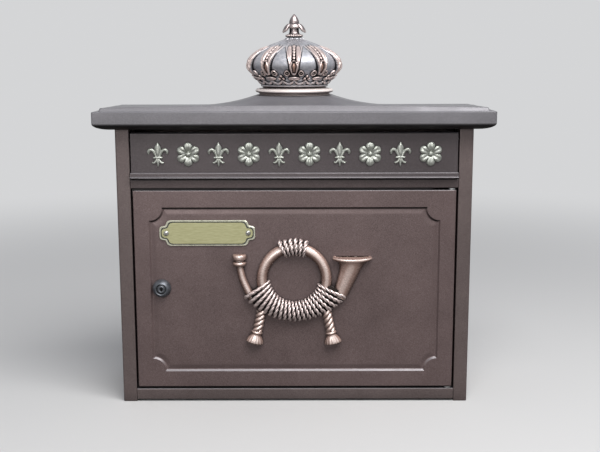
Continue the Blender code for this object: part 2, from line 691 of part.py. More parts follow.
def floor_tray(finish):
    """The floor sheet with the bottom rail of the front and the lower door stop on it."""
    wide = WALL_INNER_X - GAP
    back = FLANGE_FRONT_Y - GAP
    behind_posts = RETURN_Y + GAP
    tray = box("floor_tray", (-wide, behind_posts, FLOOR_BOTTOM), (wide, back, FLOOR_TOP), finish)
    rail = prism("rail", rail_outline(FLOOR_RISE, BOTTOM_RAIL_TOP), -RAIL_HALF, RAIL_HALF, "X")
    lap = box("lap", (-RAIL_HALF, RAIL_BACK_Y - STOP_WALL, FLOOR_BOTTOM),
              (RAIL_HALF, behind_posts + STOP_WALL, FLOOR_TOP))
    stop = door_stop(BOTTOM_RAIL_TOP - RAIL_SCREW_INSET, BOTTOM_RAIL_TOP + STOP_REACH)
    join(tray, lap, rail, stop)
    start = (HINGE_X, HINGE_Y, BOTTOM_RAIL_TOP - DOOR_PIN_DEPTH - GAP)
    holes = [rod("pin_hole", start, BOTTOM_RAIL_TOP + OVERRUN, DOOR_PIN_RADIUS + PIN_CLEARANCE, "Z")]
    for side in (-1, 1):
        for y in (FRONT_TAB_Y, REAR_TAB_Y):
            start = (side * TAB_HOLE_X, y, FLOOR_BOTTOM - OVERRUN)
            holes.append(rod("floor_hole", start, FLOOR_TOP + OVERRUN, SCREW_HOLE_RADIUS, "Z"))
    return cut(tray, *holes, *rail_holes(FLOOR_RISE + BOTTOM_RAIL_HEIGHT / 2))


def rail_outline(low, high):
    outline = [(FRONT_Y, low), (RAIL_BACK_Y, low), (RAIL_BACK_Y, high), (FRONT_Y, high)]
    return filleted(outline, {0: RAIL_ROUND, -1: RAIL_ROUND}, steps=2)


def door_stop(low, high):
    """A strip behind the door's rim that stops short of the hinge."""
    front = FRONT_Y + DOOR_RIM_DEPTH + GAP
    return box("stop", (-RAIL_HALF, front, low), (HINGE_X - STOP_HINGE_SETBACK, front + STOP_WALL, high))


def rail_holes(z):
    """The cutters for the screw in each end of a rail."""
    holes = []
    for side in (-1, 1):
        middle = side * (RAIL_HALF - (RAIL_SCREW_LENGTH - OVERRUN) / 2)
        reach = (RAIL_SCREW_LENGTH + OVERRUN) / 2
        start = (middle - reach, RAIL_SCREW_Y, z)
        holes.append(rod("screw_hole", start, middle + reach, RAIL_SCREW_RADIUS + PIN_CLEARANCE, "X"))
    return holes


def cross_rail(finish):
    """The fixed rail between the flap and the door, with a stop for each."""
    middle = CROSS_RAIL_BOTTOM + CROSS_RAIL_HEIGHT / 2
    rail = prism("cross_rail", rail_outline(CROSS_RAIL_BOTTOM, CROSS_RAIL_TOP), -RAIL_HALF, RAIL_HALF, "X",
                 finish)
    flap_stop_y = FRONT_Y + FLAP_THICKNESS + GAP
    flap_stop_x = FLAP_X - FLAP_STOP_END
    flap_stop = box("flap_stop", (-flap_stop_x, flap_stop_y, middle),
                    (flap_stop_x, flap_stop_y + STOP_WALL, CROSS_RAIL_TOP + FLAP_STOP_REACH))
    join(rail, door_stop(CROSS_RAIL_BOTTOM - STOP_REACH, middle), flap_stop)
    start = (HINGE_X, HINGE_Y, CROSS_RAIL_BOTTOM - OVERRUN)
    top = CROSS_RAIL_BOTTOM + DOOR_PIN_DEPTH + GAP
    pin_hole = rod("pin_hole", start, top, DOOR_PIN_RADIUS + PIN_CLEARANCE, "Z")
    return cut(rail, pin_hole, *rail_holes(middle))


def roof_ring(half_x, front, height, shares_x, shares_y):
    """A rectangle of points round the roof; height is a function of x."""
    back = BACK_Y + FRONT_Y - front
    xs = [half_x * share for share in shares_x]
    ys = [front + (back - front) * share for share in shares_y]
    corners = [(x, ys[0]) for x in xs[:-1]] + [(xs[-1], y) for y in ys[:-1]]
    corners += [(x, ys[-1]) for x in reversed(xs[1:])] + [(xs[0], y) for y in reversed(ys[1:])]
    return [Vector((x, y, height(x))) for x, y in corners]


def roof(finish):
    """The roof casting: moulded edge, stepped rim and a concave sweep up to the crown's plinth."""
    half = ROOF_WIDTH / 2
    top_half = half - LEDGE_WIDTH - STEP_SLOPE
    top_front = ROOF_FRONT_Y + LEDGE_WIDTH + STEP_SLOPE
    top_back = BACK_Y + FRONT_Y - top_front
    plinth_x = PLINTH_WIDTH / 2
    plinth_y = PLINTH_DEPTH / 2

    def rim(x):
        return STEP_TOP + RIM_ARCH * (1 - (x / top_half) ** 2)

    def top(x, y):
        across = max(0, min(1, 1 - (abs(x) - plinth_x) / SWEEP_REACH)) ** SWEEP_POWER
        room = (-plinth_y - top_front) if y < 0 else (top_back - plinth_y)
        along = max(0, min(1, 1 - (abs(y) - plinth_y) / room)) ** RAMP_POWER
        return rim(x) + (PLINTH_TOP - rim(x)) * across * along

    right = [plinth_x + SWEEP_REACH * i / SWEEP_COLUMNS for i in range(SWEEP_COLUMNS + 1)]
    rest = top_half - plinth_x - SWEEP_REACH
    right += [right[-1] + rest * i / RIM_COLUMNS for i in range(1, RIM_COLUMNS + 1)]
    columns = [-x for x in reversed(right)] + right
    rows = [top_front + (-plinth_y - top_front) * i / RAMP_ROWS for i in range(RAMP_ROWS + 1)]
    rows += [plinth_y + (top_back - plinth_y) * i / RAMP_ROWS for i in range(RAMP_ROWS + 1)]
    shares_x = [x / top_half for x in columns]
    shares_y = [(y - top_front) / (top_back - top_front) for y in rows]

    levels = []
    for i in range(MOULDING_STEPS + 1):
        turn = math.pi / 2 * (1 - i / MOULDING_STEPS)
        out, down = math.cos(turn), math.sin(turn)
        levels.append((SIDE_X + (half - SIDE_X) * out, FRONT_Y + (ROOF_FRONT_Y - FRONT_Y) * out,
                       FASCIA_BOTTOM - MOULDING_HEIGHT * down))
    levels.append((half, ROOF_FRONT_Y, FASCIA_TOP - FASCIA_ROUND))
    levels.append((half - FASCIA_ROUND, ROOF_FRONT_Y + FASCIA_ROUND, FASCIA_TOP))
    levels.append((half - LEDGE_WIDTH, ROOF_FRONT_Y + LEDGE_WIDTH, FASCIA_TOP))
    mesh_data = bmesh.new()
    rings = [roof_ring(x, y, lambda _, z=z: z, shares_x, shares_y) for x, y, z in levels]
    loops = [[mesh_data.verts.new(point) for point in ring] for ring in rings]
    grid = [[mesh_data.verts.new((x, y, top(x, y))) for x in columns] for y in rows]
    loops.append(grid[0][:-1] + [row[-1] for row in grid[:-1]] + grid[-1][:0:-1]
                 + [row[0] for row in grid[:0:-1]])
    for lower, upper in zip(loops, loops[1:]):
        for i in range(len(lower)):
            k = (i + 1) % len(lower)
            mesh_data.faces.new((lower[i], lower[k], upper[k], upper[i]))
    for near, far in zip(grid, grid[1:]):
        for i in range(len(columns) - 1):
            mesh_data.faces.new((near[i], near[i + 1], far[i + 1], far[i]))
    mesh_data.faces.new(list(reversed(loops[0])))
    casting = finished(mesh_data, "roof", finish)

    past_back = box("past_back", (-ROOF_WIDTH, BACK_Y, 0), (ROOF_WIDTH, BACK_Y + ROOF_DEPTH, 2 * FASCIA_TOP))
    wide, narrow = SIDE_X - ROOF_FLANGE, OPENING_X - SIDE_WALL
    front, back = FRONT_Y + ROOF_FLANGE, BACK_Y - ROOF_FLANGE
    near, far = front + BOSS_REACH, back - BOSS_REACH
    right_half = [(narrow, front), (narrow, near), (wide, near), (wide, far), (narrow, far), (narrow, back)]
    hollow = prism("hollow", right_half + mirrored(right_half), ROOF_BOTTOM - OVERRUN, STEP_TOP - ROOF_SKIN,
                   "Z")
    inner = PLINTH_HOLLOW_WIDTH / 2
    plinth_hollow = box("plinth_hollow", (-inner, -inner, ROOF_BOTTOM - OVERRUN),
                        (inner, inner, PLINTH_TOP - ROOF_SKIN))
    bolt_hole = rod("bolt_hole", (0, 0, PLINTH_TOP - ROOF_SKIN - OVERRUN), PLINTH_TOP + OVERRUN,
                    CROWN_BOLT_RADIUS + PIN_CLEARANCE, "Z")
    cut(casting, past_back, join(hollow, plinth_hollow))
    holes = [bolt_hole]
    for side in (-1, 1):
        for y in (FRONT_TAB_Y, REAR_TAB_Y):
            start = (side * TAB_HOLE_X, y, ROOF_BOTTOM - OVERRUN)
            holes.append(rod("screw_hole", start, ROOF_BOTTOM + SCREW_LENGTH, SCREW_HOLE_RADIUS, "Z"))
    return cut(casting, *holes)


def crown_base(finish):
    """The turned foot of the crown: a cove, a round-edged disc and the neck of the groove above it."""
    bore = CROWN_BOLT_RADIUS + PIN_CLEARANCE
    bead = CROWN_DISC_HEIGHT / 2
    edge = arc((CROWN_DISC_RADIUS - bead, CROWN_COVE_HEIGHT + bead), bead, -BEAD_DEGREES, BEAD_DEGREES,
               BEAD_STEPS)
    top = CROWN_COVE_HEIGHT + CROWN_DISC_HEIGHT
    profile = [(bore, 0), (CROWN_COVE_RADIUS, 0), (CROWN_COVE_RADIUS - CROWN_GROOVE_HEIGHT, CROWN_COVE_HEIGHT)]
    profile += edge + [(CROWN_GROOVE_RADIUS, top), (CROWN_GROOVE_RADIUS, top + CROWN_GROOVE_HEIGHT),
                       (bore, top + CROWN_GROOVE_HEIGHT)]
    return turned("crown_base", profile, (0, 0, CROWN_FOOT), "Z", CROWN_DISC_SIDES, finish)


def carving(share, away):
    """How far the crown's skin stands proud of its profile; away is the distance from the arch's middle."""
    relief = BAND_RELIEF if share < BAND_HIGH_SHARE else 0
    if PANEL_LOW_SHARE < share < PANEL_HIGH_SHARE and away > ARCH_HALF_SHARE:
        relief -= PANEL_DEPTH
    if LEAF_FOOT_SHARE < share < LEAF_TIP_SHARE and away < LEAF_HALF_SHARE:
        rise = (share - LEAF_FOOT_SHARE) / (LEAF_TIP_SHARE - LEAF_FOOT_SHARE)
        relief += LEAF_RELIEF * math.sin(math.pi * rise)
    return relief


def crown_ring(share, radius, carved):
    """A ring of points round the crown at a height share, eight to each arch."""
    points = []
    for number in range(ARCH_COUNT):
        for column in ARCH_COLUMN_SHARES:
            turn = 2 * math.pi * (number + column) / ARCH_COUNT - math.pi / 2
            reach = radius + (carving(share, abs(column)) if carved else 0)
            points.append((reach * math.cos(turn), reach * math.sin(turn),
                           CROWN_BODY_BOTTOM + CROWN_BODY_HEIGHT * share))
    return points


def crown_body(finish):
    """The hollow crown casting: a band, ten arches with a leaf at each foot, and the sunk panels between."""
    bore = CROWN_BOLT_RADIUS + PIN_CLEARANCE
    rings = []
    for i in range(CROWN_RINGS + 1):
        share = i / CROWN_RINGS
        rings.append(crown_ring(share, CROWN_RADIUS * value_at(CROWN_PROFILE_SHARES, share), True))
    rings.append(crown_ring(1, bore, False))
    rings.append(crown_ring(NECK_SHARE, bore, False))
    for i in range(CROWN_LINING_RINGS + 1):
        share = PANEL_HIGH_SHARE * (1 - i / CROWN_LINING_RINGS)
        radius = CROWN_RADIUS * value_at(CROWN_PROFILE_SHARES, share) - CROWN_WALL
        rings.append(crown_ring(share, radius if share == 0 else radius - PANEL_DEPTH, False))
    return skinned("crown_body", rings, finish, closed_path=True)


def crown_finial(finish):
    """The bud on the crown's neck with the four leaves that curl out below it."""
    rings = []
    for i in range(FINIAL_RINGS + 1):
        share = i / FINIAL_RINGS
        radius = FINIAL_RADIUS * value_at(FINIAL_PROFILE_SHARES, share)
        points = []
        for k in range(FINIAL_SIDES):
            turn = 2 * math.pi * k / FINIAL_SIDES
            grown = radius
            if LEAF_LOW_SHARE < share < LEAF_HIGH_SHARE:
                rise = (share - LEAF_LOW_SHARE) / (LEAF_HIGH_SHARE - LEAF_LOW_SHARE)
                leaf = max(0, math.cos(FINIAL_LEAVES * turn)) * math.sin(math.pi * rise)
                grown += (FINIAL_LEAF_RADIUS - radius) * leaf
            points.append((max(grown, GAP) * math.cos(turn), max(grown, GAP) * math.sin(turn),
                           FINIAL_BOTTOM + FINIAL_HEIGHT * share))
        rings.append(points)
    finial = skinned("crown_finial", rings, finish)
    bore = rod("bore", (0, 0, FINIAL_BOTTOM - OVERRUN), FINIAL_BOTTOM + CROWN_BOLT_GRIP,
               CROWN_BOLT_RADIUS + PIN_CLEARANCE, "Z")
    return cut(finial, bore)


def crown_fixings(finish):
    """The long bolt from inside the plinth up into the finial, and its washer."""
    washer_top = PLINTH_TOP - ROOF_SKIN - GAP
    washer_bottom = washer_top - WASHER_THICKNESS
    bore = CROWN_BOLT_RADIUS + PIN_CLEARANCE
    turned("crown_washer", [(bore, 0), (WASHER_RADIUS, 0), (WASHER_RADIUS, WASHER_THICKNESS),
                            (bore, WASHER_THICKNESS)], (0, 0, washer_bottom), "Z", ROUND_SIDES, finish)
    head_top = washer_bottom - GAP
    head_bottom = head_top - CROWN_BOLT_HEAD_HEIGHT
    bolt = rod("crown_bolt", (0, 0, head_bottom), head_top, CROWN_BOLT_HEAD_RADIUS, "Z", 6, finish)
    shank_top = FINIAL_BOTTOM + CROWN_BOLT_GRIP - GAP
    join(bolt, rod("shank", (0, 0, head_bottom + GAP), shank_top, CROWN_BOLT_RADIUS, "Z"))


def flap(finish):
    """The letter flap with its grip bar and the two ears that turn on the flap pins."""
    half = FLAP_X
    back = FRONT_Y + FLAP_THICKNESS
    outline = [(FRONT_Y, FLAP_BOTTOM), (back, FLAP_BOTTOM), (back, FLAP_TOP), (FRONT_Y, FLAP_TOP)]
    plate = prism("flap", filleted(outline, {-1: FLAP_TOP_ROUND}), -half, half, "X", finish)
    inside = FRONT_Y + FLAP_THICKNESS / 2
    bar_front = FRONT_Y - BAR_REACH
    bar_top = FLAP_BOTTOM + BAR_HEIGHT
    outline = [(bar_front, FLAP_BOTTOM), (inside, FLAP_BOTTOM), (inside, bar_top), (bar_front, bar_top)]
    outline = filleted(outline, {0: BAR_ROUND, -1: BAR_ROUND}, steps=4)
    join(plate, prism("bar", outline, -BAR_X, BAR_X, "X"))
    low, high = FLAP_AXIS_Z - FLAP_EAR_RADIUS, FLAP_AXIS_Z + FLAP_EAR_RADIUS
    end = FLAP_AXIS_Y + FLAP_EAR_RADIUS
    outline = filleted([(inside, low), (end, low), (end, high), (inside, high)],
                       {1: FLAP_EAR_RADIUS * EAR_ROUND_SHARE, 2: FLAP_EAR_RADIUS * EAR_ROUND_SHARE}, steps=4)
    for side in (-1, 1):
        start = half - FLAP_EAR_WIDTH if side > 0 else -half
        join(plate, prism("ear", outline, start, start + FLAP_EAR_WIDTH, "X"))
    bore = FLAP_PIN_RADIUS + PIN_CLEARANCE
    reach = FLAP_EAR_WIDTH + 2 * OVERRUN
    cut(plate, *[rod("ear_hole", (low_x, FLAP_AXIS_Y, FLAP_AXIS_Z), low_x + reach, bore, "X")
                 for low_x in (-half - OVERRUN, half + OVERRUN - reach)])
    set_origin(plate, (0, FLAP_AXIS_Y, FLAP_AXIS_Z))
    return plate


def rosette_outline():
    """A flower of six petals as (x, z) points round its centre."""
    reach = ROSETTE_WIDTH / 2
    points = []
    for k in range(ROSETTE_POINTS):
        turn = 2 * math.pi * k / ROSETTE_POINTS
        petal = math.sqrt(abs(math.cos(ROSETTE_LOBES * turn / 2)))
        radius = reach * (ROSETTE_WAIST_SHARE + (1 - ROSETTE_WAIST_SHARE) * petal)
        points.append((radius * math.sin(turn), radius * math.cos(turn)))
    return points


def lily_outline():
    """A lily of three petals above a band, as (x, z) points round its centre."""
    half_x, half_z = LILY_WIDTH / 2, ORNAMENT_HEIGHT / 2
    right = [(half_x * across, half_z * up) for across, up in LILY_SHARES]
    return right + [(-x, z) for x, z in reversed(right[1:-1])]


def flap_ornaments(finish):
    """The row of raised brass ornaments, a lily and a rosette by turns."""
    first = FLAP_X - ORNAMENT_END_MARGIN
    pitch = 2 * first / (ORNAMENT_COUNT - 1)
    back = FRONT_Y - GAP
    front = back - ORNAMENT_RELIEF
    made = []
    for number in range(ORNAMENT_COUNT):
        kind, outline = ("rosette", rosette_outline()) if number % 2 else ("lily", lily_outline())
        x = pitch * number - first
        inset = 1 - 2 * ORNAMENT_BEVEL / LILY_WIDTH
        levels = ((back, 1), (front + ORNAMENT_BEVEL, 1), (front, inset))
        rings = [[(x + u * share, y, ORNAMENT_CENTRE_Z + v * share) for u, v in outline]
                 for y, share in levels]
        made.append(skinned(f"flap_{kind}_{number // 2 + 1}", rings, finish))
    return made


def panel_outline():
    """The door's sunk field, whose corners are cut in by quarter circles."""
    side = DOOR_X - PANEL_SIDE_MARGIN
    corners = (((side, FIELD_TOP), 180), ((side, FIELD_BOTTOM), 90), ((-side, FIELD_BOTTOM), 0),
               ((-side, FIELD_TOP), 270))
    outline = []
    for centre, start in corners:
        turn = -90 if start in (90, 180) and centre[0] < 0 else 90
        outline += arc(centre, PANEL_CORNER_RADIUS, start, start + turn, PANEL_CORNER_STEPS)
    return outline


def door(finish):
    """The door casting: a rimmed plate with a sunk field, hinge bosses and the holes for what it carries."""
    back = FRONT_Y + DOOR_RIM_DEPTH
    mesh_data = bmesh.new()
    bmesh.ops.create_cube(mesh_data, size=1)
    low, high = Vector((-DOOR_X, FRONT_Y, DOOR_BOTTOM)), Vector((DOOR_X, back, DOOR_TOP))
    bmesh.ops.scale(mesh_data, vec=high - low, verts=mesh_data.verts)
    bmesh.ops.translate(mesh_data, vec=(high + low) / 2, verts=mesh_data.verts)
    middle = (high.y + low.y) / 2
    front_edges = [edge for edge in mesh_data.edges if all(vert.co.y < middle for vert in edge.verts)]
    bmesh.ops.bevel(mesh_data, geom=front_edges, offset=DOOR_EDGE_ROUND, segments=3, profile=0.5,
                    affect="EDGES", offset_type="OFFSET")
    leaf = finished(mesh_data, "door", finish)
    inner_x = DOOR_X - DOOR_RIM_WALL
    pocket = box("pocket", (-inner_x, DOOR_BACK_Y, DOOR_BOTTOM + DOOR_RIM_WALL),
                 (inner_x, back + OVERRUN, DOOR_TOP - DOOR_RIM_WALL))
    field = prism("field", panel_outline(), FRONT_Y - OVERRUN, PANEL_Y, "Y")
    cut(leaf, pocket, field)
    boss_x = HINGE_X - HINGE_BOSS_WIDTH / 2
    boss_edge = DOOR_X - DOOR_EDGE_ROUND
    for low_z in (DOOR_BOTTOM, DOOR_TOP - HINGE_BOSS_HEIGHT):
        join(leaf, box("boss", (boss_x, FRONT_Y + DOOR_EDGE_ROUND, low_z),
                       (boss_edge, HINGE_Y + HINGE_BOSS_BACK, low_z + HINGE_BOSS_HEIGHT)))
    bore = DOOR_PIN_RADIUS + PIN_CLEARANCE
    depth = DOOR_PIN_DEPTH + GAP
    front, behind = PANEL_Y - OVERRUN, DOOR_BACK_Y + OVERRUN
    holes = [
        rod("upper_bore", (HINGE_X, HINGE_Y, DOOR_TOP - depth), DOOR_TOP + OVERRUN, bore, "Z"),
        rod("lower_bore", (HINGE_X, HINGE_Y, DOOR_BOTTOM - OVERRUN), DOOR_BOTTOM + depth, bore, "Z"),
        rod("lock_hole", (LOCK_X, front, LOCK_Z), behind, LOCK_BARREL_RADIUS + PIN_CLEARANCE, "Y", ROUND_SIDES),
    ]
    for x in stud_places():
        holes.append(rod("stud_hole", (x, front, HORN_CENTRE_Z), behind, STUD_RADIUS + PIN_CLEARANCE, "Y"))
    bore = PLATE_SCREW_RADIUS + PIN_CLEARANCE
    for x in plate_screw_places():
        holes.append(rod("screw_hole", (x, front, NAME_PLATE_Z), behind, bore, "Y"))
    cut(leaf, *holes)
    set_origin(leaf, (HINGE_X, HINGE_Y, DOOR_BOTTOM))
    return leaf


def stud_places():
    return (HORN_CENTRE_X - RING_RADIUS, HORN_CENTRE_X + RING_RADIUS)


def plate_screw_places():
    return (NAME_PLATE_LEFT + NAME_PLATE_SCREW_INSET, NAME_PLATE_RIGHT - NAME_PLATE_SCREW_INSET)


def on_ring(radius, degrees):
    angle = math.radians(degrees)
    return (HORN_CENTRE_X + radius * math.cos(angle), HORN_CENTRE_Z + radius * math.sin(angle))


def wound(name, middle_degrees, half_degrees, turns, radius, width, depth, flare):
    """A cord wound round the ring: a rib and a groove for each turn, wider towards its ends by the flare."""
    path, widths, depths = [], [], []
    for i in range(2 * turns + 1):
        share = i / turns - 1
        rib = WINDING_RIB if i % 2 else -WINDING_RIB
        spread = flare * share ** 2
        path.append(on_ring(radius + spread, middle_degrees + half_degrees * share))
        widths.append(width + spread + rib)
        depths.append(depth + rib)
    return flat_tube(name, path, widths, depths, TUBE_SIDES + 2)


def tassel(top_out, end_out, side):
    """A hanging cord and the skirt of the tassel below it."""
    top_x, end_x = HORN_CENTRE_X + side * top_out, HORN_CENTRE_X + side * end_out
    cord_end = HORN_CENTRE_Z - CORD_END_DROP
    cord = flat_tube("cord", [(top_x, HORN_CENTRE_Z - CORD_TOP_DROP), (end_x, cord_end)], [CORD_RADIUS] * 2,
                     [CORD_RADIUS] * 2, TUBE_SIDES)
    path = [(end_x + side * TASSEL_SPREAD * share, cord_end + GAP - TASSEL_LENGTH * share)
            for share in (0, 1 / 3, 1)]
    skirt = flat_tube("skirt", path, [TASSEL_NECK, (TASSEL_NECK + TASSEL_RADIUS) / 2, TASSEL_RADIUS],
                      [TASSEL_NECK, TASSEL_DEPTH, TASSEL_DEPTH], TUBE_SIDES)
    return combined(cord, skirt, "UNION", "MANIFOLD")


def post_horn(finish):
    """The horn in relief: a ring of tube with its mouthpiece, bell, windings and two tassels."""
    steps = [on_ring(RING_RADIUS, 360 * i / RING_STEPS) for i in range(RING_STEPS)]
    horn = flat_tube("post_horn", steps, [RING_TUBE] * RING_STEPS, [RING_TUBE] * RING_STEPS, TUBE_SIDES,
                     closed_path=True)
    middle = (WINDING_START_DEGREES + WINDING_END_DEGREES) / 2
    half = (WINDING_END_DEGREES - WINDING_START_DEGREES) / 2
    main = wound("winding", middle, half, WINDING_TURNS, RING_RADIUS, WINDING_HALF_WIDTH,
                 WINDING_HALF_DEPTH, WINDING_FLARE)
    wrap = wound("top_wrap", 90, TOP_WRAP_DEGREES, TOP_WRAP_TURNS, RING_RADIUS, TOP_WRAP_HALF_WIDTH,
                 TOP_WRAP_HALF_DEPTH, 0)
    pipe_path = smooth_curve([(MOUTH_X + (MOUTH_OUT - MOUTH_FOOT_OUT) * (1 - across),
                               MOUTH_Z + GAP - (MOUTH_RISE + MOUTH_FOOT_DROP) * (1 - up))
                              for across, up in MOUTH_PIPE_SHARES], 2)
    last = len(pipe_path) - 1
    pipe_widths = [MOUTH_PIPE_FOOT + (MOUTH_PIPE - MOUTH_PIPE_FOOT) * i / last for i in range(last + 1)]
    pipe = flat_tube("pipe", pipe_path, pipe_widths, pipe_widths, TUBE_SIDES)
    rim_start = MOUTH_COLLAR_HEIGHT + MOUTH_NECK_HEIGHT
    mouth = turned("mouth", [(0, 0), (MOUTH_COLLAR_RADIUS, 0), (MOUTH_COLLAR_RADIUS, MOUTH_COLLAR_HEIGHT),
                             (MOUTH_PIPE, MOUTH_COLLAR_HEIGHT), (MOUTH_PIPE, rim_start),
                             (MOUTH_RIM_RADIUS, rim_start), (MOUTH_RIM_RADIUS, MOUTH_HEIGHT),
                             (0, MOUTH_HEIGHT)], (MOUTH_X, HORN_Y, MOUTH_Z), "Z", ROUND_SIDES)
    bell_path = [(BELL_X - (BELL_OUT - BELL_FOOT_OUT) * (1 - across),
                  BELL_Z + GAP - (BELL_RISE + BELL_FOOT_DROP) * (1 - up)) for across, up, _ in BELL_SHARES]
    bell_path[-2] = (BELL_X, bell_path[-2][1])
    widths = [BELL_RIM_RADIUS * share for _, _, share in BELL_SHARES]
    depths = [BELL_FOOT_DEPTH + (BELL_RIM_DEPTH - BELL_FOOT_DEPTH) * share for _, _, share in BELL_SHARES]
    bell = flat_tube("bell", bell_path, widths, depths, TUBE_SIDES + 2)
    dish = BELL_RIM_RADIUS * BELL_DISH_SHARE
    rim = turned("rim", [(0, 0), (BELL_RIM_RADIUS, 0), (BELL_RIM_RADIUS, BELL_RIM_HEIGHT),
                         (dish, BELL_RIM_HEIGHT), (dish / 2, GAP), (0, GAP)], (0, 0, 0), "Z", FINE_SIDES)
    flatten = Matrix.Diagonal((1, BELL_RIM_DEPTH / BELL_RIM_RADIUS, 1, 1))
    rim.data.transform(Matrix.Translation((BELL_X, HORN_Y, BELL_Z)) @ flatten)
    tassels = (tassel(LEFT_CORD_TOP_OUT, LEFT_CORD_END_OUT, -1),
               tassel(RIGHT_CORD_TOP_OUT, RIGHT_CORD_END_OUT, 1))
    for piece in (main, wrap, pipe, mouth, bell, rim, *tassels):
        combined(horn, piece, "UNION", "MANIFOLD")
    seat = PANEL_Y - GAP
    reach = 2 * BELL_RIM_RADIUS
    behind = box("behind", (-DOOR_X, seat, DOOR_BOTTOM), (DOOR_X, seat + reach, DOOR_TOP))
    combined(horn, behind, "DIFFERENCE", "MANIFOLD")
    for x in stud_places():
        stud = rod("stud", (x, HORN_Y, HORN_CENTRE_Z), PANEL_Y + STUD_LENGTH, STUD_RADIUS, "Y")
        combined(horn, stud, "UNION", "MANIFOLD")
    return horn


def horn_nuts(finish):
    bore = STUD_RADIUS + PIN_CLEARANCE
    for name, x in zip(("horn_nut_left", "horn_nut_right"), stud_places()):
        hex_nut(name, finish, (x, PLATE_BACK_Y, HORN_CENTRE_Z), "Y", HORN_NUT_RADIUS, bore, HORN_NUT_THICKNESS)


def name_plate(finish):
    """The bare brass name plate with its shaped corners, and holes for its two screws."""
    middle = (NAME_PLATE_LEFT + NAME_PLATE_RIGHT) / 2
    half_x, half_z = NAME_PLATE_RIGHT - middle, NAME_PLATE_HEIGHT / 2
    corner = [(half_x - NAME_PLATE_CORNER * along, half_z - NAME_PLATE_CORNER * down)
              for along, down in PLATE_CORNER_SHARES]
    lower = [(x, -z) for x, z in reversed(corner)]
    right = corner + lower
    outline = [(middle + x, NAME_PLATE_Z + z) for x, z in right + [(-x, z) for x, z in reversed(right)]]
    back = PANEL_Y - GAP
    plate = prism("name_plate", outline, back - NAME_PLATE_THICKNESS, back, "Y", finish)
    front = back - NAME_PLATE_THICKNESS - OVERRUN
    return cut(plate, *[rod("screw_hole", (x, front, NAME_PLATE_Z), back + OVERRUN,
                            PLATE_SCREW_RADIUS + PIN_CLEARANCE, "Y") for x in plate_screw_places()])


def cam_lock(body_finish, plug_finish, steel):
    """The cylinder lock: body, nut, turning plug, cam and the nut that holds the cam."""
    bore = LOCK_BARREL_RADIUS - LOCK_WALL
    end = LOCK_END_Y - PANEL_Y
    profile = [(bore, -LOCK_REACH), (LOCK_NOSE_RADIUS, -LOCK_REACH), (LOCK_FLANGE_RADIUS, -LOCK_FLANGE_EDGE),
               (LOCK_FLANGE_RADIUS, -GAP), (LOCK_BARREL_RADIUS, -GAP), (LOCK_BARREL_RADIUS, end), (bore, end)]
    turned("lock_body", profile, (LOCK_X, PANEL_Y, LOCK_Z), "Y", ROUND_SIDES, body_finish)
    hex_nut("lock_nut", steel, (LOCK_X, PLATE_BACK_Y, LOCK_Z), "Y", LOCK_NUT_RADIUS,
            LOCK_BARREL_RADIUS + PIN_CLEARANCE, LOCK_NUT_THICKNESS)
    nut_y = CAM_Y + CAM_THICKNESS + GAP
    tail_end = nut_y + CAM_NUT_THICKNESS - PANEL_Y
    plug_radius = bore - PIN_CLEARANCE
    front = PLUG_SETBACK - LOCK_REACH
    plug = turned("lock_plug", [(0, front), (plug_radius, front), (plug_radius, end), (PLUG_TAIL_RADIUS, end),
                                (PLUG_TAIL_RADIUS, tail_end), (0, tail_end)],
                  (LOCK_X, PANEL_Y, LOCK_Z), "Y", ROUND_SIDES, plug_finish)
    slot_front = PANEL_Y + front - OVERRUN
    cut(plug, box("key_slot", (LOCK_X - KEY_SLOT_WIDTH / 2, slot_front, LOCK_Z - KEY_SLOT_HEIGHT / 2),
                  (LOCK_X + KEY_SLOT_WIDTH / 2, slot_front + OVERRUN + KEY_SLOT_DEPTH,
                   LOCK_Z + KEY_SLOT_HEIGHT / 2)))
    set_origin(plug, (LOCK_X, PANEL_Y, LOCK_Z))
    half = CAM_WIDTH / 2
    outline = arc((LOCK_X, LOCK_Z), half, 0, 180, 8)
    outline += arc((LOCK_X, LOCK_Z - CAM_LENGTH + half), half, 180, 360, 8)
    cam = prism("lock_cam", outline, CAM_Y, CAM_Y + CAM_THICKNESS, "Y", steel)
    cut(cam, rod("cam_hole", (LOCK_X, CAM_Y - OVERRUN, LOCK_Z), CAM_Y + CAM_THICKNESS + OVERRUN,
                 PLUG_TAIL_RADIUS + PIN_CLEARANCE, "Y", ROUND_SIDES))
    nut = hex_nut("cam_nut", steel, (LOCK_X, nut_y, LOCK_Z), "Y", CAM_NUT_RADIUS,
                  PLUG_TAIL_RADIUS + PIN_CLEARANCE, CAM_NUT_THICKNESS)
    for piece in (cam, nut):
        set_origin(piece, (LOCK_X, PANEL_Y, LOCK_Z))


def door_pins(finish):
    """The fixed hinge pins above and below the door, each with the collar that spaces it."""
    gaps = (("door_pin_upper", DOOR_TOP, CROSS_RAIL_BOTTOM), ("door_pin_lower", BOTTOM_RAIL_TOP, DOOR_BOTTOM))
    for name, low, high in gaps:
        profile = [(0, low - DOOR_PIN_DEPTH), (DOOR_PIN_RADIUS, low - DOOR_PIN_DEPTH),
                   (DOOR_PIN_RADIUS, low + GAP), (DOOR_PIN_COLLAR_RADIUS, low + GAP),
                   (DOOR_PIN_COLLAR_RADIUS, high - GAP), (DOOR_PIN_RADIUS, high - GAP),
                   (DOOR_PIN_RADIUS, high + DOOR_PIN_DEPTH), (0, high + DOOR_PIN_DEPTH)]
        turned(name, profile, (HINGE_X, HINGE_Y, 0), "Z", SMALL_SIDES, finish)


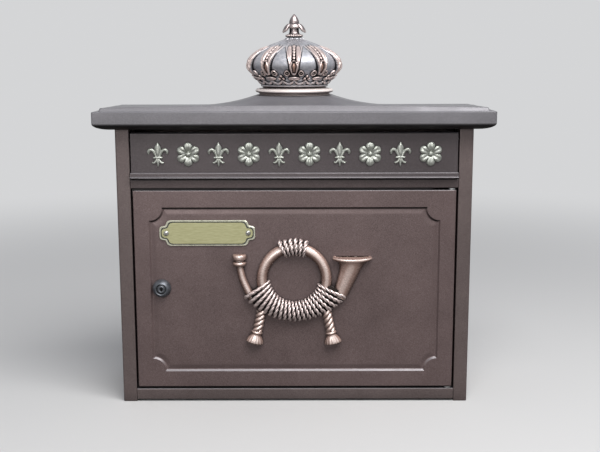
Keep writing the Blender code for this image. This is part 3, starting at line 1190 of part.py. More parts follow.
def screws(finish, brass):
    """Every screw of the shell, and the two that hold the name plate."""
    sides = (("left", -1), ("right", 1))
    for word, side in sides:
        for end, y in (("front", FRONT_TAB_Y), ("rear", REAR_TAB_Y)):
            seat = (side * TAB_HOLE_X, y, SIDE_HEIGHT - TAB_THICKNESS - GAP)
            screw(f"roof_screw_{end}_{word}", finish, seat, "Z", 1, SCREW_RADIUS, SCREW_HEAD_RADIUS, SCREW_HEAD,
                  SCREW_LENGTH)
            seat = (side * TAB_HOLE_X, y, FLOOR_TOP + GAP)
            screw(f"floor_screw_{end}_{word}", finish, seat, "Z", -1, SCREW_RADIUS, SCREW_HEAD_RADIUS,
                  SCREW_HEAD, FLOOR_SCREW_LENGTH)
        seat_x = side * (OPENING_X + RETURN_WALL + GAP)
        for level, z in zip(("upper", "lower"), rail_screw_heights()):
            screw(f"rail_screw_{level}_{word}", finish, (seat_x, RAIL_SCREW_Y, z), "X", -side,
                  RAIL_SCREW_RADIUS, RAIL_SCREW_HEAD_RADIUS, SCREW_HEAD, RAIL_SCREW_LENGTH)
        for level, z in zip(("lower", "upper"), back_screw_heights()):
            place = (side * (SIDE_X - BACK_SCREW_INSET), BACK_Y - BACK_SCREW_LIP, z)
            profile = back_screw_profile(0, 0)[1:] + [(0, 0)]
            turned(f"back_screw_{level}_{word}", profile, place, "Y", SMALL_SIDES, finish)
        pin_reach = FLAP_EAR_WIDTH + RETURN_WALL + FLAP_SIDE_GAP
        screw(f"flap_pin_{word}", finish, (seat_x, FLAP_AXIS_Y, FLAP_AXIS_Z), "X", -side, FLAP_PIN_RADIUS,
              FLAP_PIN_HEAD_RADIUS, FLAP_PIN_HEAD, pin_reach)
    seat_y = PANEL_Y - NAME_PLATE_THICKNESS - 2 * GAP
    for (word, _), x in zip(sides, plate_screw_places()):
        screw(f"plate_screw_{word}", brass, (x, seat_y, NAME_PLATE_Z), "Y", 1, PLATE_SCREW_RADIUS,
              PLATE_SCREW_HEAD_RADIUS, PLATE_SCREW_HEAD, PLATE_SCREW_LENGTH)


def mailbox():
    clear_scene()
    coat = material("brown_grey_coat", 0.118, 0.085, 0.085, 0.42, 0.35)
    copper = material("rubbed_copper", 0.30, 0.20, 0.17, 0.35, 1.0)
    pewter = material("crown_pewter", 0.33, 0.32, 0.34, 0.33, 1.0)
    brass = material("pale_brass", 0.52, 0.50, 0.38, 0.32, 1.0)
    dark = material("dark_nickel", 0.07, 0.075, 0.08, 0.30, 1.0)
    steel = material("zinc_steel", 0.45, 0.45, 0.46, 0.35, 1.0)
    side_panel("left_side", coat, -1)
    side_panel("right_side", coat, 1)
    back_panel(coat)
    floor_tray(coat)
    cross_rail(coat)
    roof(coat)
    crown_base(pewter)
    crown_body(pewter)
    crown_finial(pewter)
    crown_fixings(steel)
    flap(coat)
    flap_ornaments(brass)
    door(coat)
    post_horn(copper)
    horn_nuts(steel)
    name_plate(brass)
    cam_lock(dark, dark, steel)
    door_pins(steel)
    screws(steel, brass)


mailbox()
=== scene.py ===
# %% [markdown]
# # A crowned wall mailbox, dressed piece by piece
# The construction of this mailbox is already made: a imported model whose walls, door, flap and lock have
# their real sizes and places. This lesson gives it its looks. Each step says what a piece or a finish is
# on the real box, how it could be made in Blender, and why one way was chosen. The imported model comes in
# first, as a frame that nothing here moves.

# %% Load the fixed frame
import math

import bmesh
import bpy
from mathutils import Matrix, Vector
from mathutils.geometry import interpolate_bezier


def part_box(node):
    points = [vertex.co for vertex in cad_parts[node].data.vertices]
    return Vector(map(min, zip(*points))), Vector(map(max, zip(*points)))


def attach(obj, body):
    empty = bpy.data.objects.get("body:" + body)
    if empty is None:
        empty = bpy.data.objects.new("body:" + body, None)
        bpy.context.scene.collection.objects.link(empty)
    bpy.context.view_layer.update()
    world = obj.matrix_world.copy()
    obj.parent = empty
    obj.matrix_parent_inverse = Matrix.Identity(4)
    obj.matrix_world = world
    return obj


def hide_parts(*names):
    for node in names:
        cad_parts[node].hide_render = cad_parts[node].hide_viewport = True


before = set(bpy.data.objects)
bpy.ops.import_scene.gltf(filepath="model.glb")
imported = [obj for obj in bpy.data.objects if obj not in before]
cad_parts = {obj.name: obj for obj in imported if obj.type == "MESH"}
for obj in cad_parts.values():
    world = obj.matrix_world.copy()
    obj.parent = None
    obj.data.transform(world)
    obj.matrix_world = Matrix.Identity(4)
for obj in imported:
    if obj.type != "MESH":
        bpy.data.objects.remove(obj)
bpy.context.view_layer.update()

# %% [markdown]
# ## Workshop helpers
# Nearly every piece is a skin stretched over rings of points: a turned lock, a cast roof and a wound cord
# differ only in where their rings lie. Blender could spin, bevel or loft each one by hand. One small
# function that joins rings into a mesh does all of them, keeps the meshes closed, and lets the shape be
# read from its numbers.

# %% Join rings of points into one skin
SMOOTH_DEGREES = 38


def add_skin(shell, rings, looped=False, capped=True):
    """Adds a skin over rings of equal count to a shell of points and faces."""
    points, faces = shell
    start, count = len(points), len(rings[0])
    for ring in rings:
        points.extend(tuple(point) for point in ring)
    steps = len(rings) if looped else len(rings) - 1
    for j in range(steps):
        low, high = start + j * count, start + (j + 1) % len(rings) * count
        for i in range(count):
            k = (i + 1) % count
            faces.append((low + i, low + k, high + k, high + i))
    if capped and not looped:
        faces.append(tuple(start + i for i in reversed(range(count))))
        faces.append(tuple(start + (len(rings) - 1) * count + i for i in range(count)))
    return shell


# %% Turn a shell into a named piece
def keep_flats(piece):
    """Lets the big faces lead the shading, so that flats beside a round stay flat."""
    flats = piece.modifiers.new("keep_flats_flat", "WEIGHTED_NORMAL")
    flats.keep_sharp = True
    return piece


def finished(shell, name, finish, smooth=SMOOTH_DEGREES):
    """A smooth-shaded object made of a shell, with its finish."""
    mesh = bpy.data.meshes.new(name)
    mesh.from_pydata(shell[0], [], shell[1])
    cleaner = bmesh.new()
    cleaner.from_mesh(mesh)
    bmesh.ops.remove_doubles(cleaner, verts=cleaner.verts, dist=0.0000005)
    bmesh.ops.recalc_face_normals(cleaner, faces=cleaner.faces)
    cleaner.to_mesh(mesh)
    cleaner.free()
    mesh.shade_smooth()
    mesh.set_sharp_from_angle(angle=math.radians(smooth))
    mesh.materials.append(finish)
    piece = bpy.data.objects.new(name, mesh)
    bpy.context.collection.objects.link(piece)
    return keep_flats(piece)


def fit(piece, body, slot, *nodes):
    """Lets a piece ride on its body and hides the nodes that it stands for; the slot is not used."""
    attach(piece, body)
    if nodes:
        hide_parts(*nodes)
    print(f"{piece.name}: {len(piece.data.vertices)} points, on {body}")
    return piece


# %% Small pieces of arithmetic
def ease(low, high, value):
    """A smooth step from 0 at low to 1 at high."""
    share = max(0.0, min(1.0, (value - low) / (high - low)))
    return share * share * (3 - 2 * share)


def bump(distance, reach):
    """A round-topped bump that is 1 at distance 0 and 0 past its reach."""
    share = abs(distance) / reach
    return 0.0 if share >= 1 else math.sqrt(1 - share * share)


def between(first, last, share):
    """The value at a share of the way from the first to the last."""
    return first + (last - first) * share


def around(sides):
    """The angles of evenly spaced points round a circle."""
    return [2 * math.pi * k / sides for k in range(sides)]


def quarter(steps):
    """The angles of a quarter turn in even steps, both ends included."""
    return [math.pi / 2 * step / steps for step in range(steps + 1)]


def read_table(table, place):
    """The value at a place in a table of (place, value) rows."""
    for (low, first), (high, last) in zip(table, table[1:]):
        if place <= high:
            return between(first, last, max(0.0, (place - low) / (high - low)))
    return table[-1][1]


def smooth_curve(points, steps):
    """Points of a smooth curve through the given ones."""
    points = [Vector(point) for point in points]
    ends = points[:1] + points + points[-1:]
    curve = []
    for before, start, end, after in zip(ends, ends[1:], ends[2:], ends[3:]):
        handle = start + (end - before) / 6
        other = end - (after - start) / 6
        curve += interpolate_bezier(start, handle, other, end, steps + 1)[:-1]
    return curve + [points[-1]]


# %% Turned profiles and swept tubes
def turned_rings(profile, centre, axis, sides):
    """Rings of a profile of (radius, height) rows round an axis through the centre."""
    centre = Vector(centre)
    rings = []
    for radius, height in profile:
        ring = []
        for turn in around(sides):
            across, up = radius * math.cos(turn), radius * math.sin(turn)
            flat = {"X": (height, across, up), "Y": (across, height, up), "Z": (across, up, height)}[axis]
            ring.append(centre + Vector(flat))
        rings.append(ring)
    return rings


def carried_frames(path):
    """At each point of a path, two directions square to it that don't spin round it."""
    side = Vector((0.0, 1.0, 0.0))
    frames = []
    for i, point in enumerate(path):
        along = (path[min(i + 1, len(path) - 1)] - path[max(i - 1, 0)]).normalized()
        side = side - along * side.dot(along)
        side = side.normalized() if side.length > 1e-6 else along.orthogonal().normalized()
        frames.append((side, along.cross(side)))
    return frames


def tube_rings(path, radii, sides, seat):
    """Rings of a tube along a path; nothing reaches behind the seat's Y."""
    rings = []
    for point, (side, other), radius in zip(path, carried_frames(path), radii):
        ring = []
        for turn in around(sides):
            spot = point + (side * math.cos(turn) + other * math.sin(turn)) * radius
            spot.y = min(spot.y, seat)
            ring.append(spot)
        rings.append(ring)
    return rings


# How much thinner the strands get where they part
STRAND_THINNING = 0.84


def add_twist(shell, path, radii, strands, lay, seat, apart, sides=8):
    """Adds a cord of twisted strands; radii and apart hold its radius and how far its strands part."""
    frames = carried_frames(path)
    run, phases = 0.0, []
    for before, point in zip([path[0]] + path, path):
        run += (point - before).length
        phases.append(2 * math.pi * run / lay)
    for number in range(strands):
        own = []
        for point, (side, other), phase, radius, share in zip(path, frames, phases, radii, apart):
            turn = phase + 2 * math.pi * number / strands
            own.append(point + (side * math.cos(turn) + other * math.sin(turn)) * radius * share)
        thin = [radius * (1 - STRAND_THINNING * share) for radius, share in zip(radii, apart)]
        add_skin(shell, tube_rings(own, thin, sides, seat))
    return shell


# %% [markdown]
# ## The studio and the camera
# The photograph looks almost straight at the front, from a little above the crown's foot. One picture can't
# tell how far away the camera stood, so its distance is chosen: a metre from the box's front. For that
# distance the corners of the fascia, the posts and the door gave its height, tilt and lens. The room is a
# pale floor that fades away, with one broad light overhead, a weak one in front and a grey sky that lights
# the shadows.

# %% Camera at the photograph's place
CAMERA_PLACE = Vector((0.0078, -1.046, 0.369))
CAMERA_PAN = 0.117
CAMERA_DIP = 10.03
CAMERA_ROLL = -0.14
CAMERA_LENS = 58.07
CAMERA_SENSOR = 36.0

lens = bpy.data.cameras.new("camera")
lens.lens = CAMERA_LENS
lens.sensor_width = CAMERA_SENSOR
camera = bpy.data.objects.new("camera", lens)
bpy.context.collection.objects.link(camera)
pan = Matrix.Rotation(math.radians(CAMERA_PAN), 4, "Z")
dip = Matrix.Rotation(math.radians(90 - CAMERA_DIP), 4, "X")
roll = Matrix.Rotation(math.radians(CAMERA_ROLL), 4, "Z")
camera.matrix_world = Matrix.Translation(CAMERA_PLACE) @ pan @ dip @ roll
bpy.context.scene.camera = camera
bpy.context.scene.view_settings.view_transform = "Standard"

# %% Pale floor that fades into the backdrop
FLOOR_DROP = 0.0004
FLOOR_REACH = 3.2
FLOOR_SIDES = 96
FADE_START, FADE_END = 0.45, 1.7
PAPER_SEEN = (0.66, 0.66, 0.655, 1)
PAPER_BOUNCE = (0.13, 0.125, 0.12, 1)
PAPER_ROUGHNESS = 0.9
BACKDROP_COLOUR = (0.66, 0.665, 0.675, 1)

floor_ring = [(FLOOR_REACH * math.cos(turn), FLOOR_REACH * math.sin(turn), -FLOOR_DROP)
              for turn in around(FLOOR_SIDES)]
floor_mesh = bpy.data.meshes.new("studio_floor")
floor_mesh.from_pydata(floor_ring, [], [tuple(range(FLOOR_SIDES))])
studio_floor = bpy.data.objects.new("studio_floor", floor_mesh)
bpy.context.collection.objects.link(studio_floor)

paper = bpy.data.materials.new("pale_paper")
paper.use_nodes = True
tree = paper.node_tree
shader = tree.nodes["Principled BSDF"]
seen = tree.nodes.new("ShaderNodeLightPath").outputs["Is Camera Ray"]
tone = tree.nodes.new("ShaderNodeMix")
tone.data_type = "RGBA"
tone.inputs[6].default_value = PAPER_BOUNCE
tone.inputs[7].default_value = PAPER_SEEN
tree.links.new(seen, tone.inputs[0])
tree.links.new(tone.outputs[2], shader.inputs["Base Color"])
shader.inputs["Roughness"].default_value = PAPER_ROUGHNESS
distance = tree.nodes.new("ShaderNodeVectorMath")
distance.operation = "LENGTH"
tree.links.new(tree.nodes.new("ShaderNodeTexCoord").outputs["Object"], distance.inputs[0])
fade = tree.nodes.new("ShaderNodeMapRange")
fade.interpolation_type = "SMOOTHSTEP"
fade.inputs["From Min"].default_value = FADE_START
fade.inputs["From Max"].default_value = FADE_END
tree.links.new(distance.outputs["Value"], fade.inputs["Value"])
tree.links.new(seen, fade.inputs["To Max"])
far_away = tree.nodes.new("ShaderNodeEmission")
far_away.inputs["Color"].default_value = BACKDROP_COLOUR
choice = tree.nodes.new("ShaderNodeMixShader")
tree.links.new(fade.outputs["Result"], choice.inputs[0])
tree.links.new(shader.outputs[0], choice.inputs[1])
tree.links.new(far_away.outputs[0], choice.inputs[2])
tree.links.new(choice.outputs[0], tree.nodes["Material Output"].inputs["Surface"])
floor_mesh.materials.append(paper)


# %% Sky and lights
SKY_COLOUR = (0.48, 0.50, 0.55, 1)
SKY_STRENGTH = 0.50


def soft_light(name, place, target, width, height, power, colour):
    """A broad area light that faces a point."""
    lamp = bpy.data.lights.new(name, "AREA")
    lamp.shape = "RECTANGLE"
    lamp.size = width
    lamp.size_y = height
    lamp.energy = power
    lamp.color = colour
    holder = bpy.data.objects.new(name, lamp)
    bpy.context.collection.objects.link(holder)
    aim = Vector(target) - Vector(place)
    holder.matrix_world = Matrix.Translation(place) @ aim.to_track_quat("-Z", "Y").to_matrix().to_4x4()
    return holder


sky = bpy.data.worlds.new("grey_sky")
sky.use_nodes = True
tree = sky.node_tree
lighting = tree.nodes["Background"]
lighting.inputs["Color"].default_value = SKY_COLOUR
lighting.inputs["Strength"].default_value = SKY_STRENGTH
backdrop = tree.nodes.new("ShaderNodeBackground")
backdrop.inputs["Color"].default_value = BACKDROP_COLOUR
choice = tree.nodes.new("ShaderNodeMixShader")
paths = tree.nodes.new("ShaderNodeLightPath")
shown = tree.nodes.new("ShaderNodeMath")
shown.operation = "MAXIMUM"
tree.links.new(paths.outputs["Is Camera Ray"], shown.inputs[0])
tree.links.new(paths.outputs["Is Glossy Ray"], shown.inputs[1])
tree.links.new(shown.outputs[0], choice.inputs[0])
tree.links.new(lighting.outputs[0], choice.inputs[1])
tree.links.new(backdrop.outputs[0], choice.inputs[2])
tree.links.new(choice.outputs[0], tree.nodes["World Output"].inputs["Surface"])
bpy.context.scene.world = sky
soft_light("overhead", (0.42, -0.85, 1.5), (0, 0, 0.25), 1.5, 1.0, 32, (1.0, 0.99, 0.985))
soft_light("front_fill", (-0.35, -2.4, 0.7), (0, 0, 0.15), 1.2, 0.9, 11, (1.0, 0.97, 0.95))

# %% [markdown]
# ## Finishes
# The box wears a handful of finishes: a brown-grey metallic coat, rubbed copper on the horn, pewter with
# copper-pink edges on the crown, pale brass on the flap and the plate, dark nickel on the lock and zinc on
# the fasteners. Photographs could be wrapped round the pieces, but that needs pictures and seams. Noise,
# the pointiness of the mesh and the darkness of its corners give the same grain, wear, patina and painted
# shade at any size.

# %% Node helpers for every finish
def new_finish(name):
    """A material, its node tree and its shader."""
    finish = bpy.data.materials.new(name)
    finish.use_nodes = True
    tree = finish.node_tree
    return finish, tree, tree.nodes["Principled BSDF"]


def grain(tree, scale, detail=2.0, stretch=(1, 1, 1)):
    """Noise in the piece's own metres; scale is in grains for each metre."""
    place = tree.nodes.new("ShaderNodeTexCoord")
    mapping = tree.nodes.new("ShaderNodeMapping")
    mapping.inputs["Scale"].default_value = stretch
    noise = tree.nodes.new("ShaderNodeTexNoise")
    noise.inputs["Scale"].default_value = scale
    noise.inputs["Detail"].default_value = detail
    tree.links.new(place.outputs["Object"], mapping.inputs["Vector"])
    tree.links.new(mapping.outputs["Vector"], noise.inputs["Vector"])
    return noise.outputs["Fac"]


def ramp(tree, source, stops):
    """A colour ramp; stops are (place, colour) rows, and a number stands for a grey."""
    node = tree.nodes.new("ShaderNodeValToRGB")
    while len(node.color_ramp.elements) < len(stops):
        node.color_ramp.elements.new(0.5)
    for element, (place, colour) in zip(node.color_ramp.elements, stops):
        element.position = place
        element.color = (*colour, 1) if isinstance(colour, tuple) else (colour, colour, colour, 1)
    tree.links.new(source, node.inputs["Fac"])
    return node.outputs["Color"]


def blended(tree, factor, first, second, way="MIX"):
    """Two colours mixed; each may be a colour or a socket, and so may the factor."""
    node = tree.nodes.new("ShaderNodeMix")
    node.data_type = "RGBA"
    node.blend_type = way
    for socket, value in ((node.inputs[0], factor), (node.inputs[6], first), (node.inputs[7], second)):
        if isinstance(value, bpy.types.NodeSocket):
            tree.links.new(value, socket)
        else:
            socket.default_value = (*value, 1) if isinstance(value, tuple) else value
    return node.outputs[2]


def raised(tree, low, high):
    """1 on edges that stand out, 0 in hollows, from the mesh's pointiness."""
    geometry = tree.nodes.new("ShaderNodeNewGeometry")
    return ramp(tree, geometry.outputs["Pointiness"], [(low, 0.0), (high, 1.0)])


def open_air(tree, reach, low=0.3, high=0.95):
    """1 where a surface is open and 0 deep in a corner, within the reach."""
    shade = tree.nodes.new("ShaderNodeAmbientOcclusion")
    shade.inputs["Distance"].default_value = reach
    shade.samples = 8
    return ramp(tree, shade.outputs["AO"], [(low, 0.0), (high, 1.0)])


def surface(tree, shader, colour, mottle, gloss_stops, metallic, pits, strength, distance):
    """Gives a shader its colour, a mottled gloss, its share of metal and a bump of fine pits."""
    tree.links.new(colour, shader.inputs["Base Color"])
    tree.links.new(ramp(tree, mottle, gloss_stops), shader.inputs["Roughness"])
    shader.inputs["Metallic"].default_value = metallic
    node = tree.nodes.new("ShaderNodeBump")
    node.inputs["Strength"].default_value = strength
    node.inputs["Distance"].default_value = distance
    tree.links.new(pits, node.inputs["Height"])
    tree.links.new(node.outputs["Normal"], shader.inputs["Normal"])


# %% [markdown]
# ### The brown-grey coat
# The sheet and the castings are sprayed with one coat: a dark brown-grey with fine metal flakes and a faint
# orange-peel surface. A flat colour would look like plastic. Flakes come from very fine noise and the peel
# from a slower noise as bump. What faces up is paler, dust with painted sky light, and what faces down or
# lies in a corner is darker, painted shade. The rail and the flap take darker copies of the coat, painted
# shade under the bar and the roof, and the roof a paler, bluer copy, painted sky light with dust.

# %% Brown-grey coat
def facing(tree, direction, low, high):
    """1 where the piece's own surface faces a direction, 0 where it faces away."""
    place = tree.nodes.new("ShaderNodeTexCoord")
    turned = tree.nodes.new("ShaderNodeVectorMath")
    turned.operation = "DOT_PRODUCT"
    turned.inputs[1].default_value = Vector(direction).normalized()
    tree.links.new(place.outputs["Normal"], turned.inputs[0])
    return ramp(tree, turned.outputs["Value"], [(low, 0.0), (high, 1.0)])


# Grains for each metre of the flakes, the clouds, the mottled gloss and the orange peel
FLAKE_GRAIN, CLOUD_GRAIN, MOTTLE_GRAIN, PEEL_GRAIN = 2600, 14, 60, 900
COAT_METAL = 0.30


def coat_finish(name, base, flake, gloss, dust_and_skylight, reach):
    """The coat, paler where it faces up (dust and painted sky light) and darker where it faces down or lies
    in a corner within the reach (painted shade).
    """
    finish, tree, shader = new_finish(name)
    flakes = ramp(tree, grain(tree, FLAKE_GRAIN, 1.0), [(0.42, 0.0), (0.68, 1.0)])
    clouds = ramp(tree, grain(tree, CLOUD_GRAIN, 3.0), [(0.3, 0.88), (0.7, 1.08)])
    colour = blended(tree, flakes, base, flake)
    colour = blended(tree, 1.0, colour, clouds, "MULTIPLY")
    # Paler where the surface faces up: dust, and painted sky light on top surfaces.
    colour = blended(tree, facing(tree, (0, 0, 1), 0.25, 0.85), colour, dust_and_skylight)
    # Darker where the surface faces down and in corners within the reach: painted shade.
    colour = blended(tree, facing(tree, (0, 0, -1), 0.05, 0.75), colour, PAINTED_SHADE)
    colour = blended(tree, open_air(tree, reach, 0.1, 0.7), PAINTED_SHADE, colour)
    gloss_stops = [(0.35, gloss - 0.05), (0.65, gloss + 0.05)]
    surface(tree, shader, colour, grain(tree, MOTTLE_GRAIN), gloss_stops, COAT_METAL,
            grain(tree, PEEL_GRAIN), 0.12, 0.0003)
    return finish


# A pale bluish grey laid on what faces up: dust together with painted sky light.
DUST_AND_SKYLIGHT = (0.25, 0.24, 0.255)
ROOF_DUST_AND_SKYLIGHT = (0.165, 0.162, 0.176)
# The near-black laid under things and in corners: painted shade.
PAINTED_SHADE = (0.010, 0.009, 0.010)
door_coat = coat_finish("brown_grey_coat", (0.116, 0.080, 0.078), (0.225, 0.170, 0.166), 0.38, DUST_AND_SKYLIGHT, 0.005)
# The walls' long reach darkens the posts under the roof: painted shade.
wall_coat = coat_finish("wall_coat", (0.116, 0.088, 0.085), (0.214, 0.172, 0.166), 0.38, DUST_AND_SKYLIGHT, 0.030)
# The rail's coat is a darker copy of the coat: painted shade under the flap's grip bar.
shaded_rail_coat = coat_finish("shaded_rail_coat", (0.066, 0.049, 0.049), (0.123, 0.097, 0.097), 0.38, DUST_AND_SKYLIGHT, 0.010)
# The flap's coat is a darker copy with a long reach of corner darkening: painted shade under the roof's
# overhang.
shaded_flap_coat = coat_finish("shaded_flap_coat", (0.067, 0.055, 0.057), (0.124, 0.105, 0.111), 0.36, DUST_AND_SKYLIGHT, 0.042)
# The roof's coat is a paler, bluer copy of the coat: painted sky light, with dust.
sky_lit_roof_coat = coat_finish("dusty_sky_lit_roof", (0.155, 0.150, 0.162), (0.246, 0.240, 0.256), 0.42,
                        ROOF_DUST_AND_SKYLIGHT, 0.006)

# %% [markdown]
# ### Rubbed copper and pewter
# The horn and the crown are castings that were darkened all over and then rubbed, so that high places shine
# and hollows stay black. That is what pointiness and ambient occlusion measure, so the two of them drive
# the colour, with noise so that no edge is rubbed evenly. The direction that a surface faces counts too:
# what faces away from the front and the light above is darkened, painted shade with some tarnish, and what
# faces the front gets a pale streak, a painted highlight.

# %% Rubbed metals
# The first direction faces the front and the light above: what faces away from it is darkened, painted shade
# with some tarnish. The second also faces the front: what faces it within the range below gets a pale streak,
# a painted highlight.
LIT_SIDE = (0.05, -0.8, 0.6)
HIGHLIGHT_SIDE = (0.05, -0.93, 0.35)
HIGHLIGHT_RANGE = (0.85, 0.985)


def rubbed_finish(name, dark, middle, bright, gloss, edges=(0.50, 0.58), reach=0.006, front=(0.25, 0.85),
                  highlight_strength=0.0, metallic=0.72):
    """Dark in hollows and bright on edges; the argument after front sets how strongly a pale streak, a
    painted highlight, is laid where the surface faces the front.
    """
    finish, tree, shader = new_finish(name)
    blotches = ramp(tree, grain(tree, 260, 4.0), [(0.35, 0.0), (0.65, 1.0)])
    body = blended(tree, blotches, middle, tuple(between(a, b, 0.14) for a, b in zip(middle, bright)))
    tarnish_and_shade = tuple(between(a, b, 0.30) for a, b in zip(dark, middle))
    # What faces away from the front and the light above is mixed towards a darker copy of the body: painted
    # shade, with some tarnish.
    body = blended(tree, facing(tree, LIT_SIDE, *front), tarnish_and_shade, body)
    # A pale streak where the surface faces the front: a painted highlight.
    highlight_streak = blended(tree, highlight_strength, (0.0, 0.0, 0.0), facing(tree, HIGHLIGHT_SIDE, *HIGHLIGHT_RANGE))
    body = blended(tree, highlight_streak, body, bright)
    colour = blended(tree, raised(tree, *edges), body, bright)
    colour = blended(tree, open_air(tree, reach, 0.3, 0.85), dark, colour)
    gloss_stops = [(0.3, gloss - 0.06), (0.7, gloss + 0.08)]
    surface(tree, shader, colour, grain(tree, 420, 3.0), gloss_stops, metallic,
            grain(tree, 1500, 3.0), 0.11, 0.0002)
    return finish


# In the calls below, the number before the metal share is the strength of the painted highlight streak.
horn_copper = rubbed_finish("rubbed_copper", (0.026, 0.016, 0.015), (0.53, 0.350, 0.295),
                            (0.98, 0.83, 0.77), 0.25, (0.54, 0.66), 0.006, (0.33, 0.90), 0.95, 0.45)
cord_copper = rubbed_finish("rubbed_cord_copper", (0.008, 0.006, 0.006), (0.46, 0.34, 0.31),
                            (0.95, 0.81, 0.78), 0.25, (0.52, 0.60), 0.0042, (0.35, 0.90), 0.6, 0.55)
# The metal under the winding shows only in the gaps between the turns; its near-black is painted shade, with
# tarnish.
core_shade_copper = rubbed_finish("core_metal_shade_and_tarnish", (0.008, 0.006, 0.006), (0.030, 0.022, 0.020),
                            (0.05, 0.04, 0.035), 0.5)
base_copper = rubbed_finish("rubbed_base_copper", (0.05, 0.015, 0.012), (0.95, 0.86, 0.82),
                            (0.97, 0.91, 0.88), 0.45, (0.53, 0.64), 0.004, (-0.2, 0.3), 0.0, 0.30)
finial_pewter = rubbed_finish("finial_pewter", (0.012, 0.010, 0.012), (0.25, 0.21, 0.22),
                              (0.88, 0.75, 0.71), 0.28, (0.53, 0.62), 0.005, (0.30, 0.95), 0.35, 0.7)


# %% Pewter with copper where the hand has rubbed it
PEWTER_METAL = 0.68


def pewter_finish(name):
    """Grey casting metal; the piece's attributes say where it is copper and where it stands out."""
    finish, tree, shader = new_finish(name)
    blotches = ramp(tree, grain(tree, 300, 4.0), [(0.35, 0.0), (0.65, 1.0)])
    body = blended(tree, blotches, (0.39, 0.40, 0.44), (0.54, 0.54, 0.575))
    marks = {}
    for mark in ("copper_work", "stands_out"):
        marks[mark] = tree.nodes.new("ShaderNodeAttribute")
        marks[mark].attribute_name = mark
    height = marks["stands_out"].outputs["Fac"]
    colour = blended(tree, marks["copper_work"].outputs["Fac"], body, (0.56, 0.36, 0.29))
    # Where the relief stands out above its neighbours it turns pale: painted highlight, with rubbed wear.
    colour = blended(tree, ramp(tree, height, [(0.54, 0.0), (0.80, 1.0)]), colour, (0.84, 0.70, 0.66))
    # Where it lies below them it turns near black: painted shade, with patina.
    colour = blended(tree, ramp(tree, height, [(0.18, 1.0), (0.44, 0.0)]), colour, (0.014, 0.013, 0.016))
    colour = blended(tree, open_air(tree, 0.004, 0.25, 0.8), (0.012, 0.011, 0.014), colour)
    surface(tree, shader, colour, grain(tree, 500, 3.0), [(0.3, 0.32), (0.7, 0.47)], PEWTER_METAL,
            grain(tree, 1800, 3.0), 0.15, 0.0002)
    return finish


crown_pewter = pewter_finish("crown_pewter")


# %% [markdown]
# ### Brass, nickel and zinc
# The flap's ornaments are pale brass gone slightly green, the name plate is warmer brass brushed along its
# length, the lock is dark nickel and the screws and nuts are zinc plated. Brushing is noise stretched along
# one axis, and plating is a soft mottling of the gloss.

# %% Bright metals
# A near-black laid into corners within a short reach: painted shade.
CORNER_SHADE = (0.03, 0.03, 0.025)


def plain_metal(name, low, high, gloss, stretch=(1, 1, 1), scale=260, metallic=1.0):
    """Metal brushed or mottled between two colours, dark in its corners."""
    finish, tree, shader = new_finish(name)
    streaks = ramp(tree, grain(tree, scale, 4.0, stretch), [(0.3, 0.0), (0.7, 1.0)])
    colour = blended(tree, streaks, low, high)
    colour = blended(tree, open_air(tree, 0.003, 0.2, 0.8), CORNER_SHADE, colour)
    gloss_stops = [(0.3, gloss - 0.05), (0.7, gloss + 0.06)]
    surface(tree, shader, colour, grain(tree, scale * 2, 3.0, stretch), gloss_stops, metallic,
            grain(tree, scale * 4, 2.0, stretch), 0.08, 0.0002)
    return finish


ornament_brass = plain_metal("pale_ornament_brass", (0.41, 0.43, 0.38), (0.55, 0.57, 0.53), 0.35,
                             metallic=0.7)
plate_brass = plain_metal("plate_brass", (0.45, 0.44, 0.235), (0.57, 0.56, 0.325), 0.34, (1, 1, 9), 160, 0.4)
engraved_brass = plain_metal("engraved_brass", (0.10, 0.11, 0.10), (0.17, 0.18, 0.15), 0.5, metallic=0.4)
plate_rim_brass = plain_metal("plate_rim_brass", (0.56, 0.56, 0.43), (0.74, 0.74, 0.62), 0.30, metallic=0.5)
screw_nickel = plain_metal("screw_nickel", (0.42, 0.42, 0.41), (0.66, 0.66, 0.64), 0.30)
lock_nickel = plain_metal("lock_nickel", (0.085, 0.092, 0.105), (0.15, 0.16, 0.18), 0.38, metallic=0.55)
zinc_steel = plain_metal("zinc_steel", (0.46, 0.46, 0.47), (0.66, 0.66, 0.66), 0.38)

# %% [markdown]
# ## Pieces that keep their built shape
# The side walls, the floor tray and the cross rail are castings, and the back is flat sheet. Their solids
# already have the right form, so they only take a finish. The same is true of the fasteners behind the
# door and under the roof.

# %% Finishes for the built pieces
COATED = ("left_side", "right_side", "back_panel", "floor_tray")
STEEL_WORDS = ("roof_screw", "floor_screw", "rail_screw", "back_screw", "flap_pin", "door_pin", "horn_nut",
               "crown_bolt", "crown_washer", "lock_nut", "lock_cam", "cam_nut")


def refinish(node, finish):
    """Gives a built node its finish in every material slot."""
    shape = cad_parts[node]
    if not shape.material_slots:
        shape.data.materials.append(finish)
    for holder in shape.material_slots:
        holder.material = finish


for node in COATED:
    refinish(node, wall_coat)
refinish("cross_rail", shaded_rail_coat)
steel_nodes = [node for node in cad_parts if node.startswith(STEEL_WORDS)]
for node in steel_nodes:
    refinish(node, zinc_steel)
print(len(COATED) + 1, "coated and", len(steel_nodes), "steel nodes keep their shape")

# %% [markdown]
# ## The roof casting
# The roof is one casting: a quarter-round moulding under a flat fascia, a ledge, a low riser and a top that
# sweeps up to the crown's plinth. It could be a cube with bevels and proportional editing. A profile led
# round three sides, with the top as a grid whose height is a formula, keeps the long curves true. The
# corners are rounded a little, and the round dies out where the top begins.

